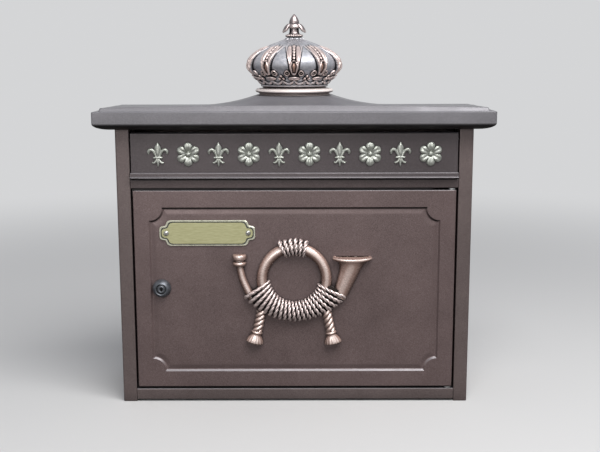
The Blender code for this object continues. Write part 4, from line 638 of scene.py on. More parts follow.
# %% Sizes of the roof
roof_low, roof_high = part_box("roof")
side_low, side_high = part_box("right_side")
crown_base_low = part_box("crown_base")[0]
MOULDING_HEIGHT = 0.0072
FASCIA_HEIGHT = 0.0118
FASCIA_ROUND = 0.0009
LEDGE_WIDTH = 0.0062
STEP_HEIGHT = 0.0036
STEP_SLOPE = 0.0016
RIM_ARCH = 0.0024
RIM_ROUND = 0.0005
PLINTH_HALF_X = 0.039
PLINTH_HALF_Y = 0.040
SWEEP_REACH = 0.078
SWEEP_POWER = 2.3
RAMP_POWER = 1.3
ROOF_CORNER = 0.0013
CORNER_STEPS = 4
FASCIA_STEPS = 3
ROOF_FALL_POWER = 1.2
ROOF_COLUMNS = 120
ROOF_ROWS = 44
MOULDING_STEPS = 12

roof_half = roof_high.x
roof_front = roof_low.y
roof_back = roof_high.y
wall_front = side_low.y
wall_half = side_high.x
fascia_bottom = roof_low.z + MOULDING_HEIGHT
fascia_top = fascia_bottom + FASCIA_HEIGHT
step_top = fascia_top + STEP_HEIGHT
plinth_top = roof_high.z
rim_half = roof_half - LEDGE_WIDTH - STEP_SLOPE
rim_front = roof_front + LEDGE_WIDTH + STEP_SLOPE
rim_back = roof_back + wall_front - rim_front
print("fascia from", round(fascia_bottom, 4), "to", round(fascia_top, 4))


# %% Height of the roof's top
def rim_height(x, y):
    """The rim arches a little along the front and falls away towards the wall."""
    front = step_top + RIM_ARCH * (1 - min(1, abs(x) / rim_half) ** 2)
    away = max(0.0, min(1.0, (y - rim_front) / (roof_back - rim_front)))
    low = fascia_top + 2 * RIM_ROUND
    return low + (front - low) * (1 - away) ** ROOF_FALL_POWER


def roof_height(x, y):
    """The rim's arch with the sweep up to the plinth."""
    across = max(0, min(1, 1 - (abs(x) - PLINTH_HALF_X) / SWEEP_REACH)) ** SWEEP_POWER
    room = -PLINTH_HALF_Y - rim_front if y < 0 else rim_back - PLINTH_HALF_Y
    along = max(0, min(1, 1 - (abs(y) - PLINTH_HALF_Y) / room)) ** RAMP_POWER
    return rim_height(x, y) + (plinth_top - rim_height(x, y)) * across * along


# %% The roof's profile, led round three sides
def roof_line(half, front, height, corner):
    """Points from the back left corner round the front to the back right one."""
    points = []
    for j in range(ROOF_ROWS, 0, -1):
        y = max(front + corner, between(front, roof_back, j / ROOF_ROWS))
        points.append((-half, y, height(half, y)))
    for turn in quarter(CORNER_STEPS):
        points.append((-half + corner * (1 - math.sin(turn + math.pi / 2)),
                       front + corner * (1 - math.sin(turn)), height(half, front)))
    for i in range(1, ROOF_COLUMNS):
        x = between(-half, half, i / ROOF_COLUMNS)
        x = max(corner - half, min(half - corner, x))
        points.append((x, front, height(x, front)))
    return points + [(-x, y, z) for x, y, z in reversed(points[:ROOF_ROWS + CORNER_STEPS + 1])]


roof_levels = []
for step in range(MOULDING_STEPS + 1):
    turn = math.pi / 2 * (1 - step / MOULDING_STEPS)
    out, down = math.cos(turn), math.sin(turn)
    roof_levels.append((between(wall_half, roof_half, out), between(wall_front, roof_front, out),
                        lambda x, y, z=fascia_bottom - MOULDING_HEIGHT * down: z))
for turn in quarter(FASCIA_STEPS):
    inset = FASCIA_ROUND * (1 - math.cos(turn))
    z = fascia_top - FASCIA_ROUND * (1 - math.sin(turn))
    roof_levels.append((roof_half - inset, roof_front + inset, lambda x, y, z=z: z))
ledge_in = LEDGE_WIDTH - FASCIA_ROUND
roof_levels.append((roof_half - ledge_in, roof_front + ledge_in, lambda x, y: fascia_top))
roof_levels.append((roof_half - LEDGE_WIDTH, roof_front + LEDGE_WIDTH,
                    lambda x, y: fascia_top + RIM_ROUND / 2))
roof_levels.append((rim_half + RIM_ROUND, rim_front - RIM_ROUND, lambda x, y: rim_height(x, y) - RIM_ROUND))

# %% The roof casting
roof_lines = [roof_line(half, front, height, ROOF_CORNER) for half, front, height in roof_levels]
roof_lines.append(roof_line(rim_half, rim_front, rim_height, 0))
points = [point for line in roof_lines for point in line]
length = len(roof_lines[0])
faces = []
for j in range(len(roof_lines) - 1):
    for i in range(length - 1):
        low, high = j * length + i, (j + 1) * length + i
        faces.append((low, low + 1, high + 1, high))
grid_start = len(points)
for j in range(ROOF_ROWS + 1):
    for i in range(ROOF_COLUMNS + 1):
        x = between(-rim_half, rim_half, i / ROOF_COLUMNS)
        y = between(rim_front, roof_back, j / ROOF_ROWS)
        points.append((x, y, roof_height(x, y)))
for j in range(ROOF_ROWS):
    for i in range(ROOF_COLUMNS):
        low = grid_start + j * (ROOF_COLUMNS + 1) + i
        high = low + ROOF_COLUMNS + 1
        faces.append((low, low + 1, high + 1, high))
back_row = [grid_start + ROOF_ROWS * (ROOF_COLUMNS + 1) + i for i in range(1, ROOF_COLUMNS)]
left_edge = [j * length for j in range(len(roof_lines))]
right_edge = [(j + 1) * length - 1 for j in range(len(roof_lines))]
faces.append(tuple(left_edge + back_row + right_edge[::-1]))
faces.append(tuple(range(length))[::-1])
roof_casting = finished((points, faces), "roof_casting", sky_lit_roof_coat)


# %% Hollow the roof from below, as the casting is
def cut_out(target, shell, smooth=SMOOTH_DEGREES):
    """Takes a shell out of a piece."""
    cutter = finished(shell, "cutter", target.data.materials[0])
    target.modifiers.clear()
    step = target.modifiers.new("cut", "BOOLEAN")
    step.operation = "DIFFERENCE"
    step.object = cutter
    seen = target.evaluated_get(bpy.context.evaluated_depsgraph_get())
    target.data = bpy.data.meshes.new_from_object(seen)
    target.modifiers.clear()
    target.data.shade_smooth()
    target.data.set_sharp_from_angle(angle=math.radians(smooth))
    bpy.data.objects.remove(cutter, do_unlink=True)
    return keep_flats(target)


def box_shell(low, high):
    """A shell of a box, for cutting."""
    return add_skin(([], []), [[(low[0], low[1], z), (high[0], low[1], z), (high[0], high[1], z),
                                (low[0], high[1], z)] for z in (low[2], high[2])])


BORE_SIDES = 40


def add_bore(shell, centre, axis, radius, start, stop):
    """Adds a round bore along an axis to a shell, for cutting."""
    return add_skin(shell, turned_rings(((radius, start), (radius, stop)), centre, axis, BORE_SIDES))


ROOF_FLANGE = 0.006
ROOF_SKIN = 0.0066
BOSS_ROOM = 0.020
HOLLOW_DEPTH = 0.010
PLINTH_WALL = 0.009
PLINTH_SKIN = 0.0036
plinth_room = PLINTH_HALF_Y - PLINTH_WALL
cut_out(roof_casting, box_shell((-plinth_room, -plinth_room, roof_low.z - HOLLOW_DEPTH),
                                (plinth_room, plinth_room, plinth_top - PLINTH_SKIN)))
cut_out(roof_casting, box_shell((-wall_half + BOSS_ROOM, wall_front + ROOF_FLANGE, roof_low.z - HOLLOW_DEPTH),
                                (wall_half - BOSS_ROOM, roof_back - ROOF_FLANGE, step_top - ROOF_SKIN)))
fit(roof_casting, "housing", "coat", "roof")

# %% [markdown]
# ## The door casting
# The door is a cast plate with a sunk field whose corners are cut in by quarter circles. The step down into
# the field is a short slope, dark along the top and bright along the bottom. It could be cut with a Boolean
# and bevelled, but the bevel fails at the sharp cusps. Here the field's outline is drawn at several sizes,
# each a little deeper, and the rings are joined from the door's outer edge inwards.

# %% Sizes of the door
door_low, door_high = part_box("door")
DOOR_RIM_DEPTH = 0.0065
DOOR_PLATE = 0.004
DOOR_RIM_WALL = 0.003
DOOR_EDGE_ROUND = 0.0011
DOOR_EDGE_STEPS = 4
FIELD_SIDE = 0.0170
FIELD_TOP = 0.0190
FIELD_BOTTOM = 0.0185
FIELD_RECESS = 0.0012
FIELD_CORNER = 0.0140
FIELD_CORNER_STEPS = 16
SLOPE_HALF = 0.0012
# Place across the slope and depth, as shares of the slope's half width and of the recess
SLOPE_ROWS = (
    (1.0, 0.0), (0.85, 0.08), (0.55, 0.38), (-0.15, 1.16), (-0.55, 1.48), (-0.9, 1.60), (-1.6, 1.58),
    (-4.0, 1.2), (-6.0, 1.0),
)

door_front = door_low.y
field_y = door_front + FIELD_RECESS
field_half = door_high.x - FIELD_SIDE
field_top = door_high.z - FIELD_TOP
field_bottom = door_low.z + FIELD_BOTTOM
print("sunk field", round(2 * field_half, 4), "by", round(field_top - field_bottom, 4))


# %% Outlines of the field and of the door's edge
def all_corners(corner):
    """The four corners of a loop from its upper right one, as (x, z) points."""
    upper = [(x, field_top + z) for x, z in corner]
    lower = [(x, field_bottom - z) for x, z in reversed(corner)]
    right = lower + upper
    return right + [(-x, z) for x, z in reversed(right)]


def field_ring(grown, y):
    """The field's outline, grown outwards by an amount, at a depth."""
    radius = FIELD_CORNER - grown
    spare = math.asin(grown / radius)
    corner = []
    for k in range(FIELD_CORNER_STEPS + 1):
        turn = between(-math.pi / 2 + spare, -math.pi - spare, k / FIELD_CORNER_STEPS)
        corner.append((field_half + radius * math.cos(turn), radius * math.sin(turn)))
    return [Vector((x, y, z)) for x, z in all_corners(corner)]


def door_ring(inset, y):
    """The door's rectangle, drawn in by an inset, with as many points as the field's outline."""
    half = door_high.x - inset
    ring = []
    steps = FIELD_CORNER_STEPS // 2
    for edge_z, turn in ((door_low.z + inset, -1), (door_high.z - inset, 1)):
        near_z = (field_top if turn > 0 else field_bottom) - turn * FIELD_CORNER
        rise = [(half, between(near_z, edge_z, k / steps)) for k in range(steps)]
        run = [(between(half, field_half - FIELD_CORNER, k / steps), edge_z) for k in range(steps + 1)]
        ring += rise + run if turn > 0 else (rise + run)[::-1]
    ring += [(-x, z) for x, z in reversed(ring)]
    return [Vector((x, y, z)) for x, z in ring]


# %% The door casting
door_back = door_front + DOOR_RIM_DEPTH
plate_back = door_front + DOOR_PLATE
door_rings = [door_ring(DOOR_RIM_WALL, plate_back), door_ring(DOOR_RIM_WALL, door_back),
              door_ring(0, door_back)]
for turn in quarter(DOOR_EDGE_STEPS):
    inset = DOOR_EDGE_ROUND * (1 - math.cos(turn))
    door_rings.append(door_ring(inset, door_front + DOOR_EDGE_ROUND * (1 - math.sin(turn))))
for wide, deep in SLOPE_ROWS:
    door_rings.append(field_ring(SLOPE_HALF * wide, door_front + FIELD_RECESS * deep))
door_casting = finished(add_skin(([], []), door_rings), "door_casting", door_coat)

# %% Holes in the door for the lock, the studs and the screws
LOCK_HOLE = 0.0083
STUD_HOLE = 0.0023
SCREW_HOLE = 0.0015
PIN_BORE = 0.0023
PIN_ROOM = 0.0006
door_holes = ([], [])
for node, radius in (("lock_body", LOCK_HOLE), ("horn_nut_left", STUD_HOLE), ("horn_nut_right", STUD_HOLE),
                     ("plate_screw_left", SCREW_HOLE), ("plate_screw_right", SCREW_HOLE)):
    centre = sum(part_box(node), Vector()) / 2
    add_bore(door_holes, (centre.x, 0, centre.z), "Y", radius, door_front - DOOR_PLATE,
             door_high.y + DOOR_PLATE)
pin_bores = ([], [])
for place, edge in (("upper", door_high.z + DOOR_PLATE), ("lower", door_low.z - DOOR_PLATE)):
    pin_low, pin_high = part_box(f"door_pin_{place}")
    hinge_x, hinge_y = (pin_low.x + pin_high.x) / 2, (pin_low.y + pin_high.y) / 2
    inner = pin_low.z - PIN_ROOM if place == "upper" else pin_high.z + PIN_ROOM
    add_bore(pin_bores, (hinge_x, hinge_y, 0), "Z", PIN_BORE, min(inner, edge), max(inner, edge))
cut_out(door_casting, door_holes)
cut_out(door_casting, pin_bores)
fit(door_casting, "front_door", "coat", "door")

# %% Bosses that the hinge pins turn in
BOSS_WIDTH = 0.0085
BOSS_HEIGHT = 0.012
BOSS_ROUND = 0.0008
for place, low_z in (("lower", door_low.z), ("upper", door_high.z - BOSS_HEIGHT)):
    boss_left, boss_right = hinge_x - BOSS_WIDTH / 2, door_high.x - DOOR_EDGE_ROUND
    rings = []
    for y, inset in ((plate_back - DOOR_EDGE_ROUND, 0), (door_high.y - BOSS_ROUND, 0),
                     (door_high.y, BOSS_ROUND)):
        rings.append([(boss_left + inset, y, low_z + inset), (boss_right - inset, y, low_z + inset),
                      (boss_right - inset, y, low_z + BOSS_HEIGHT - inset),
                      (boss_left + inset, y, low_z + BOSS_HEIGHT - inset)])
    door_boss = finished(add_skin(([], []), rings), f"door_boss_{place}", door_coat)
    fit(cut_out(door_boss, pin_bores), "front_door", "coat")

# %% [markdown]
# ## The letter flap
# The flap is a thin plate with a rounded top edge and a moulded grip bar along its foot. Seen from the end
# it is one section, so a section pushed along X makes it. The bar's lower lip stands out furthest and
# catches the light, which gives the two bright lines of the photograph.

# %% Sizes and sections of the flap
flap_low, flap_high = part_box("flap")
FLAP_SIDE_GAP = 0.0010
FLAP_THICKNESS = 0.003
FLAP_TOP_ROUND = 0.0025
FLAP_TOP_STEPS = 6
BAR_HEIGHT = 0.0062
EAR_WIDTH = 0.006
# Height share and reach share of the grip bar's moulded front, from its top down
BAR_SECTION = ((1.0, 0.0), (0.99, 0.26), (0.95, 0.40), (0.87, 0.46), (0.74, 0.47), (0.40, 0.47), (0.33, 0.50),
               (0.30, 0.62), (0.28, 0.84), (0.24, 0.96), (0.18, 1.0), (0.08, 0.98), (0.02, 0.88), (0.0, 0.70))

flap_half = flap_high.x - FLAP_SIDE_GAP
flap_back = door_front + FLAP_THICKNESS
bar_reach = door_front - flap_low.y
plate_section = [(door_front, flap_low.z), (flap_back, flap_low.z), (flap_back, flap_high.z)]
for turn in quarter(FLAP_TOP_STEPS):
    plate_section.append((door_front + FLAP_TOP_ROUND * (1 - math.sin(turn)),
                          flap_high.z - FLAP_TOP_ROUND * (1 - math.cos(turn))))
bar_section = [(door_front - bar_reach * reach, flap_low.z + BAR_HEIGHT * rise)
               for rise, reach in BAR_SECTION]
bar_back = door_front + FLAP_THICKNESS / 2
bar_section += [(bar_back, flap_low.z), (bar_back, flap_low.z + BAR_HEIGHT)]


# %% The flap
def section_ring(section, x, inset=0.0):
    """A section of (y, z) points at a place along X, drawn in towards its middle."""
    middle_y = sum(y for y, _ in section) / len(section)
    middle_z = sum(z for _, z in section) / len(section)
    ring = []
    for y, z in section:
        away = Vector((y - middle_y, z - middle_z))
        away = away * max(0.0, 1 - inset / max(away.length, inset))
        ring.append((x, middle_y + away.x, middle_z + away.y))
    return ring


BAR_END_ROUND = 0.0009
BAR_END_STEPS = 4
flap_shell = add_skin(([], []), [section_ring(plate_section, x) for x in (-flap_half, flap_half)])
bar_rings = []
for turn in quarter(BAR_END_STEPS):
    bar_rings.append(section_ring(bar_section, -flap_high.x + BAR_END_ROUND * (1 - math.cos(turn)),
                                  BAR_END_ROUND * (1 - math.sin(turn))))
bar_rings += [[(-x, y, z) for x, y, z in ring] for ring in reversed(bar_rings)]
add_skin(flap_shell, bar_rings)
pin_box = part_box("flap_pin_left")
ear_y, ear_z = (pin_box[0].y + pin_box[1].y) / 2, (pin_box[0].z + pin_box[1].z) / 2
ear_radius = flap_high.y - ear_y
flap_plate = finished(flap_shell, "flap_plate", shaded_flap_coat)
fit(flap_plate, "letter_flap", "coat", "flap")

# %% Ears that the flap's pins turn in
EAR_STEPS = 16
EAR_BORE_GAP = 0.0003
ear_bore = (pin_box[1].z - pin_box[0].z) / 2 + EAR_BORE_GAP
ear_start = door_front + FLAP_THICKNESS / 2
for name, side in (("left", -1), ("right", 1)):
    ear = [(ear_start, ear_z + ear_radius), (ear_start, ear_z - ear_radius)]
    for step in range(EAR_STEPS + 1):
        turn = math.pi * (step / EAR_STEPS - 0.5)
        ear.append((ear_y + ear_radius * math.cos(turn), ear_z + ear_radius * math.sin(turn)))
    rings = [section_ring(ear, side * flap_half), section_ring(ear, side * (flap_half - EAR_WIDTH))]
    flap_ear = finished(add_skin(([], []), rings), f"flap_ear_{name}", shaded_flap_coat)
    bore = add_bore(([], []), (0, ear_y, ear_z), "X", ear_bore, side * flap_half * 1.1,
                    side * flap_half * 0.9)
    fit(cut_out(flap_ear, bore), "letter_flap", "coat")

# %% [markdown]
# ## The row of brass ornaments
# Ten small castings stand on the flap: lilies and six-petalled rosettes by turns. Each is flat at the back
# and softly rounded in front. A filled curve with a bevel gives an even edge but no petals. The rosette is
# a disc whose height follows a formula, and the lily is made of swelling strokes that a voxel remesh melts
# into one casting.

# %% A rosette as a shaped disc
ROSETTE_RINGS = 18
ROSETTE_SIDES = 108
ROSETTE_LOBES = 6
ROSETTE_WAIST = 0.66
BOSS_SHARE, PETAL_END = 0.26, 1.08
# The least height anywhere, as a share of the whole
ROSETTE_EDGE = 0.22
relief_front, relief_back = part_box("flap_rosette_1")[0].y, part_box("flap_rosette_1")[1].y
relief_height = relief_back - relief_front


def rosette_height(share, petal):
    """How far a rosette stands out at a share of its radius; petal is 1 on a petal's middle."""
    boss = bump(share, BOSS_SHARE)
    leaf = math.sin(math.pi * min(1, max(0, (share - BOSS_SHARE) / (PETAL_END - BOSS_SHARE)))) ** 0.6
    vein = 0.16 * bump(1 - petal, 0.05) * ease(0.3, 0.5, share)
    return max(0.98 * boss, (0.42 + 0.46 * petal ** 0.5) * leaf - vein, ROSETTE_EDGE)


def rosette(number):
    low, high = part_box(f"flap_rosette_{number}")
    middle_x, middle_z = (low.x + high.x) / 2, (low.z + high.z) / 2
    reach = (high.z - low.z) / 2

    def outline(share, rise):
        """The petals' outline at a share of its size; rise says how far it stands out."""
        ring = []
        for turn in around(ROSETTE_SIDES):
            petal = math.sqrt(abs(math.cos(ROSETTE_LOBES * turn / 2)))
            edge = reach * (ROSETTE_WAIST + (1 - ROSETTE_WAIST) * petal) * share
            height = relief_height * rise(share, petal)
            ring.append((middle_x + edge * math.sin(turn), relief_back - height,
                         middle_z + edge * math.cos(turn)))
        return ring

    rings = [outline(1, lambda share, petal: 0), outline(1, lambda share, petal: ROSETTE_EDGE)]
    for step in range(1, ROSETTE_RINGS + 1):
        rings.append(outline(1 - step / (ROSETTE_RINGS + 1), rosette_height))
    return finished(add_skin(([], []), rings), f"rosette_{number}", ornament_brass, 60)


for number in range(1, 6):
    fit(rosette(number), "letter_flap", "pale_brass", f"flap_rosette_{number}")

# %% A lily of strokes
# Across and up shares of half the lily's size, then the stroke's half width as a share
LILY_STROKES = (
    ((0.0, 0.98, 0.02), (0.0, 0.80, 0.15), (0.0, 0.52, 0.31), (0.0, 0.22, 0.26), (0.0, -0.10, 0.15),
     (0.0, -0.34, 0.13)),
    ((0.10, -0.30, 0.10), (0.26, 0.02, 0.12), (0.46, 0.30, 0.15), (0.70, 0.36, 0.17), (0.86, 0.20, 0.14),
     (0.84, 0.00, 0.08)),
    ((0.08, -0.38, 0.11), (0.22, -0.58, 0.12), (0.42, -0.68, 0.10), (0.54, -0.62, 0.05)),
    ((0.0, -0.38, 0.12), (0.0, -0.62, 0.12), (0.0, -0.86, 0.09), (0.0, -0.99, 0.02)),
)
LILY_BAND = ((-0.44, -0.28, 0.09), (-0.2, -0.26, 0.115), (0.2, -0.26, 0.115), (0.44, -0.28, 0.09))
STROKE_STEPS, STROKE_SIDES = 5, 14
LILY_VOXEL = 0.00028


def add_stroke(shell, stroke, middle, half_x, half_z, height):
    """Adds a swelling stroke of half-round section that stands on the back plane."""
    path = smooth_curve([(half_x * x, half_z * z, half_x * wide) for x, z, wide in stroke], STROKE_STEPS)
    rings = []
    for i, (x, z, wide) in enumerate(path):
        ahead, behind = path[min(i + 1, len(path) - 1)], path[max(i - 1, 0)]
        along = Vector((ahead[0] - behind[0], ahead[1] - behind[1])).normalized()
        ring = []
        for k in range(STROKE_SIDES):
            turn = math.pi * k / (STROKE_SIDES - 1)
            across = wide * math.cos(turn)
            swell = height * (0.35 + 0.65 * min(1, wide / (half_x * 0.2)))
            rise = relief_back - swell * max(0.0, math.sin(turn)) ** 0.7
            ring.append((middle[0] + x + along.y * across, rise, middle[1] + z - along.x * across))
        rings.append(ring)
    return add_skin(shell, rings)


def lily(number):
    low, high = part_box(f"flap_lily_{number}")
    middle = ((low.x + high.x) / 2, (low.z + high.z) / 2)
    half_x, half_z = (high.x - low.x) / 2, (high.z - low.z) / 2
    shell = ([], [])
    for stroke in LILY_STROKES:
        add_stroke(shell, stroke, middle, half_x, half_z, 0.9 * relief_height)
        if stroke[1][0] > 0:
            mirrored = [(-x, z, wide) for x, z, wide in stroke]
            add_stroke(shell, mirrored, middle, half_x, half_z, 0.9 * relief_height)
    add_stroke(shell, LILY_BAND, middle, half_x, half_z, relief_height)
    piece = finished(shell, f"lily_{number}", ornament_brass, 60)
    melt = piece.modifiers.new("melt", "REMESH")
    melt.mode = "VOXEL"
    melt.voxel_size = LILY_VOXEL
    melt.use_smooth_shade = True
    soften = piece.modifiers.new("soften", "SMOOTH")
    soften.iterations = 3
    seen = piece.evaluated_get(bpy.context.evaluated_depsgraph_get())
    mesh = bpy.data.meshes.new_from_object(seen)
    piece.modifiers.clear()
    piece.data = mesh
    for point in mesh.vertices:
        point.co.y = min(point.co.y, relief_back)
    return piece


for number in range(1, 6):
    fit(lily(number), "letter_flap", "pale_brass", f"flap_lily_{number}")

# %% [markdown]
# ## The bare name plate
# The plate is thin brass with notched corners, a line engraved round its edge and a slotted screw at each
# end. It stays bare. The outline is drawn once and shrunk towards its middle for the bevel, the border and
# the engraved line, so all of them follow the notches.

# %% Outline of the plate
plate_low, plate_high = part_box("name_plate")
PLATE_CORNER = 0.0118
# Distances along the long edge and down the short edge, as shares of the corner
PLATE_CORNER_SHARES = ((1.0, 0.0), (0.80, 0.05), (0.66, 0.18), (0.60, 0.34), (0.53, 0.48), (0.40, 0.53),
                       (0.20, 0.55), (0.06, 0.64), (0.0, 0.80))
PLATE_BORDER = 0.0014
ENGRAVED_WIDTH = 0.0011
ENGRAVED_DEPTH = 0.0007
PLATE_BEVEL = 0.0004

PLATE_TRIM = 0.0008
plate_middle = (plate_low + plate_high) / 2
plate_half = (plate_high - plate_low) / 2 - Vector((PLATE_TRIM, 0, PLATE_TRIM))


def plate_ring(inset, y):
    """The plate's outline, drawn in by an inset, at a depth."""
    half_x, half_z = plate_half.x - inset, plate_half.z - inset
    corner = [(half_x - PLATE_CORNER * along, half_z - PLATE_CORNER * down)
              for along, down in PLATE_CORNER_SHARES]
    right = corner + [(x, -z) for x, z in reversed(corner)]
    loop = right + [(-x, z) for x, z in reversed(right)]
    return [(plate_middle.x + x, y, plate_middle.z + z) for x, z in loop]


# %% The plate
plate_front, plate_rear = plate_low.y, plate_high.y
groove = plate_front + ENGRAVED_DEPTH
plate_shell = add_skin(([], []), [
    plate_ring(0, plate_rear), plate_ring(0, plate_front + PLATE_BEVEL),
    plate_ring(PLATE_BEVEL, plate_front), plate_ring(PLATE_BORDER, plate_front),
    plate_ring(PLATE_BORDER + ENGRAVED_WIDTH * 0.3, groove),
    plate_ring(PLATE_BORDER + ENGRAVED_WIDTH * 0.7, groove),
    plate_ring(PLATE_BORDER + ENGRAVED_WIDTH, plate_front)])
name_plate_brass = finished(plate_shell, "name_plate_brass", plate_rim_brass, 20)
name_plate_brass.data.materials.append(plate_brass)
name_plate_brass.data.materials.append(engraved_brass)
sides = len(plate_ring(0, 0))
for face in name_plate_brass.data.polygons:
    if 3 * sides <= face.index < 6 * sides:
        face.material_index = 2
    inner = face.center.y < plate_front + 0.00001 and abs(face.center.x - plate_middle.x) < plate_half.x / 2
    if inner and abs(face.center.z - plate_middle.z) < plate_half.z / 2:
        face.material_index = 1
fit(name_plate_brass, "front_door", "pale_brass", "name_plate")

# %% Slotted screws of the plate
PLATE_SCREW_SLOT = 0.0012
PLATE_SCREW_TURNS = {"left": 12.0, "right": -28.0}
HEAD_STEPS, HEAD_SIDES = 6, 28
HEAD_EDGE = 0.25


def domed_head(middle, seat, front, radius):
    """Rings of a low domed head that faces the front."""
    rise = seat - front
    profile = [(radius, seat), (radius, seat - rise * HEAD_EDGE)]
    for turn in quarter(HEAD_STEPS)[1:-1]:
        profile.append((radius * math.cos(turn), seat - rise * between(HEAD_EDGE, 1, math.sin(turn))))
    profile.append((radius * 0.06, front))
    return turned_rings(profile, (middle[0], 0, middle[1]), "Y", HEAD_SIDES)


for side, degrees in PLATE_SCREW_TURNS.items():
    low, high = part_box(f"plate_screw_{side}")
    radius = (high.x - low.x) / 2
    middle = ((low.x + high.x) / 2, (low.z + high.z) / 2)
    head = finished(add_skin(([], []), domed_head(middle, plate_front - 0.0001, low.y, radius)),
                    f"plate_screw_head_{side}", screw_nickel)
    head.data.transform(Matrix.Translation((-middle[0], 0, -middle[1])))
    head.data.transform(Matrix.Rotation(math.radians(-degrees), 4, "Y"))
    cut_out(head, box_shell((-radius * 1.2, low.y - radius, -PLATE_SCREW_SLOT / 2),
                            (radius * 1.2, low.y + PLATE_SCREW_SLOT, PLATE_SCREW_SLOT / 2)))
    head.data.transform(Matrix.Rotation(math.radians(degrees), 4, "Y"))
    head.data.transform(Matrix.Translation((middle[0], 0, middle[1])))
    fit(head, "front_door", "plate_screw_brass", f"plate_screw_{side}")

# %% [markdown]
# ## The lock
# A cam lock shows a coned flange, a raised ring and a plug with a key slot. The first two are turned, so a
# profile spun round the lock's axis gives them, with every small step of the real turning. The slot is the
# one cut in the plug.

# %% Lock face and plug
lock_low, lock_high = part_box("lock_body")
plug_low, plug_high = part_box("lock_plug")
lock_x, lock_z = (lock_low.x + lock_high.x) / 2, (lock_low.z + lock_high.z) / 2
lock_radius = (lock_high.x - lock_low.x) / 2
plug_radius = (plug_high.x - plug_low.x) / 2
BARREL_RADIUS = 0.0080
BORE_GAP = 0.0003
LOCK_SIDES = 56
lock_front = lock_low.y
seat_y = field_y - BORE_GAP
DOME_STEPS = 9
DOME_TURN = 62
FLANGE_EDGE = 0.0009
BORE_LIP, LIP_CHAMFER = 0.0011, 0.0005
lock_profile = [(lock_radius, seat_y), (lock_radius, seat_y - FLANGE_EDGE)]
for step in range(1, DOME_STEPS + 1):
    turn = math.radians(DOME_TURN) * step / DOME_STEPS
    share = (1 - math.cos(turn)) / (1 - math.cos(math.radians(DOME_TURN)))
    rise = math.sin(turn) / math.sin(math.radians(DOME_TURN))
    lock_profile.append((between(lock_radius, plug_radius + BORE_LIP, share),
                         between(seat_y - FLANGE_EDGE, lock_front, rise)))
lock_profile += [(plug_radius + BORE_GAP, lock_front + LIP_CHAMFER), (plug_radius + BORE_GAP, lock_high.y),
                 (BARREL_RADIUS, lock_high.y), (BARREL_RADIUS, seat_y)]
lock_rings = turned_rings(lock_profile, (lock_x, 0, lock_z), "Y", LOCK_SIDES)
lock_face = finished(add_skin(([], []), lock_rings, looped=True), "lock_face", lock_nickel, 30)
fit(lock_face, "front_door", "lock_metal", "lock_body")

NOSE_RADIUS = 0.0034
NOSE_RECESS = 0.0008
KEY_SLOT_HALF = 0.00065
KEY_SLOT_RISE = 0.0022
KEY_SLOT_DEPTH = 0.004
TAIL_RADIUS, TAIL_LENGTH = 0.003, 0.0056
NOSE_HOLLOW = 0.0004
tail_start = plug_high.y - TAIL_LENGTH
nose_back = plug_low.y + NOSE_RECESS
plug_profile = (
    (0.0001, plug_low.y + NOSE_HOLLOW), (NOSE_RADIUS * 0.72, plug_low.y + NOSE_HOLLOW),
    (NOSE_RADIUS * 0.80, plug_low.y), (NOSE_RADIUS * 0.94, plug_low.y), (NOSE_RADIUS * 1.05, nose_back),
    (plug_radius - NOSE_RECESS, nose_back), (plug_radius, plug_low.y + NOSE_RECESS * 1.6),
    (plug_radius, tail_start), (TAIL_RADIUS, tail_start), (TAIL_RADIUS, plug_high.y),
)
plug_rings = turned_rings(plug_profile, (lock_x, 0, lock_z), "Y", LOCK_SIDES)
lock_plug_face = finished(add_skin(([], []), plug_rings), "lock_plug_face", lock_nickel, 30)
key_low = (lock_x - KEY_SLOT_HALF, plug_low.y - KEY_SLOT_DEPTH, lock_z - KEY_SLOT_RISE)
key_high = (lock_x + KEY_SLOT_HALF, plug_low.y + KEY_SLOT_DEPTH, lock_z + KEY_SLOT_RISE)
cut_out(lock_plug_face, box_shell(key_low, key_high))
fit(lock_plug_face, "lock_cylinder", "lock_metal", "lock_plug")

# %% [markdown]
# ## The post horn
# A horn in relief hangs on the door: a ring of tube, a curved pipe with its mouthpiece, a flared bell, a cord
# wound round the lower half and two tassels. A real horn has all of these as one casting, flat behind. Each
# part here is its own skin along its own line, and every point that would pass the back plane is laid on
# it, so the horn sits on the door like the casting does.

# %% Places on the horn
nut_left, nut_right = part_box("horn_nut_left"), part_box("horn_nut_right")
left_stud = (nut_left[0] + nut_left[1]) / 2
right_stud = (nut_right[0] + nut_right[1]) / 2
horn_x, horn_z = (left_stud.x + right_stud.x) / 2, left_stud.z
ring_radius = (right_stud.x - left_stud.x) / 2
HORN_STANDOFF = 0.0032
horn_y = field_y - HORN_STANDOFF
horn_seat = field_y - BORE_GAP
RING_TUBE = 0.0058
RING_STEPS = 120


def on_horn(x, z):
    """A point in the horn's plane, measured from the ring's centre."""
    return Vector((horn_x + x, horn_y, horn_z + z))


def on_ring(radius, degrees):
    angle = math.radians(degrees)
    return on_horn(radius * math.cos(angle), radius * math.sin(angle))


def horn_section(centre, across, wide, deep, sides, groove=lambda turn: 1):
    """A round section of the horn, laid flat where it would pass the back plane."""
    ring = []
    for turn in around(sides):
        spot = centre + across * wide * groove(turn) * math.cos(turn)
        spot.y = min(horn_seat, horn_y - deep * groove(turn) * math.sin(turn))
        ring.append(spot)
    return ring


# %% The ring
RING_SIDES = 20
ring_rings = []
for step in range(RING_STEPS):
    centre = on_ring(ring_radius, 360 * step / RING_STEPS)
    outwards = (centre - on_horn(0, 0)).normalized()
    ring_rings.append(horn_section(centre, outwards, RING_TUBE, RING_TUBE, RING_SIDES))
horn_ring = finished(add_skin(([], []), ring_rings, looped=True), "horn_ring", horn_copper)
fit(horn_ring, "front_door", "horn_metal", "post_horn")

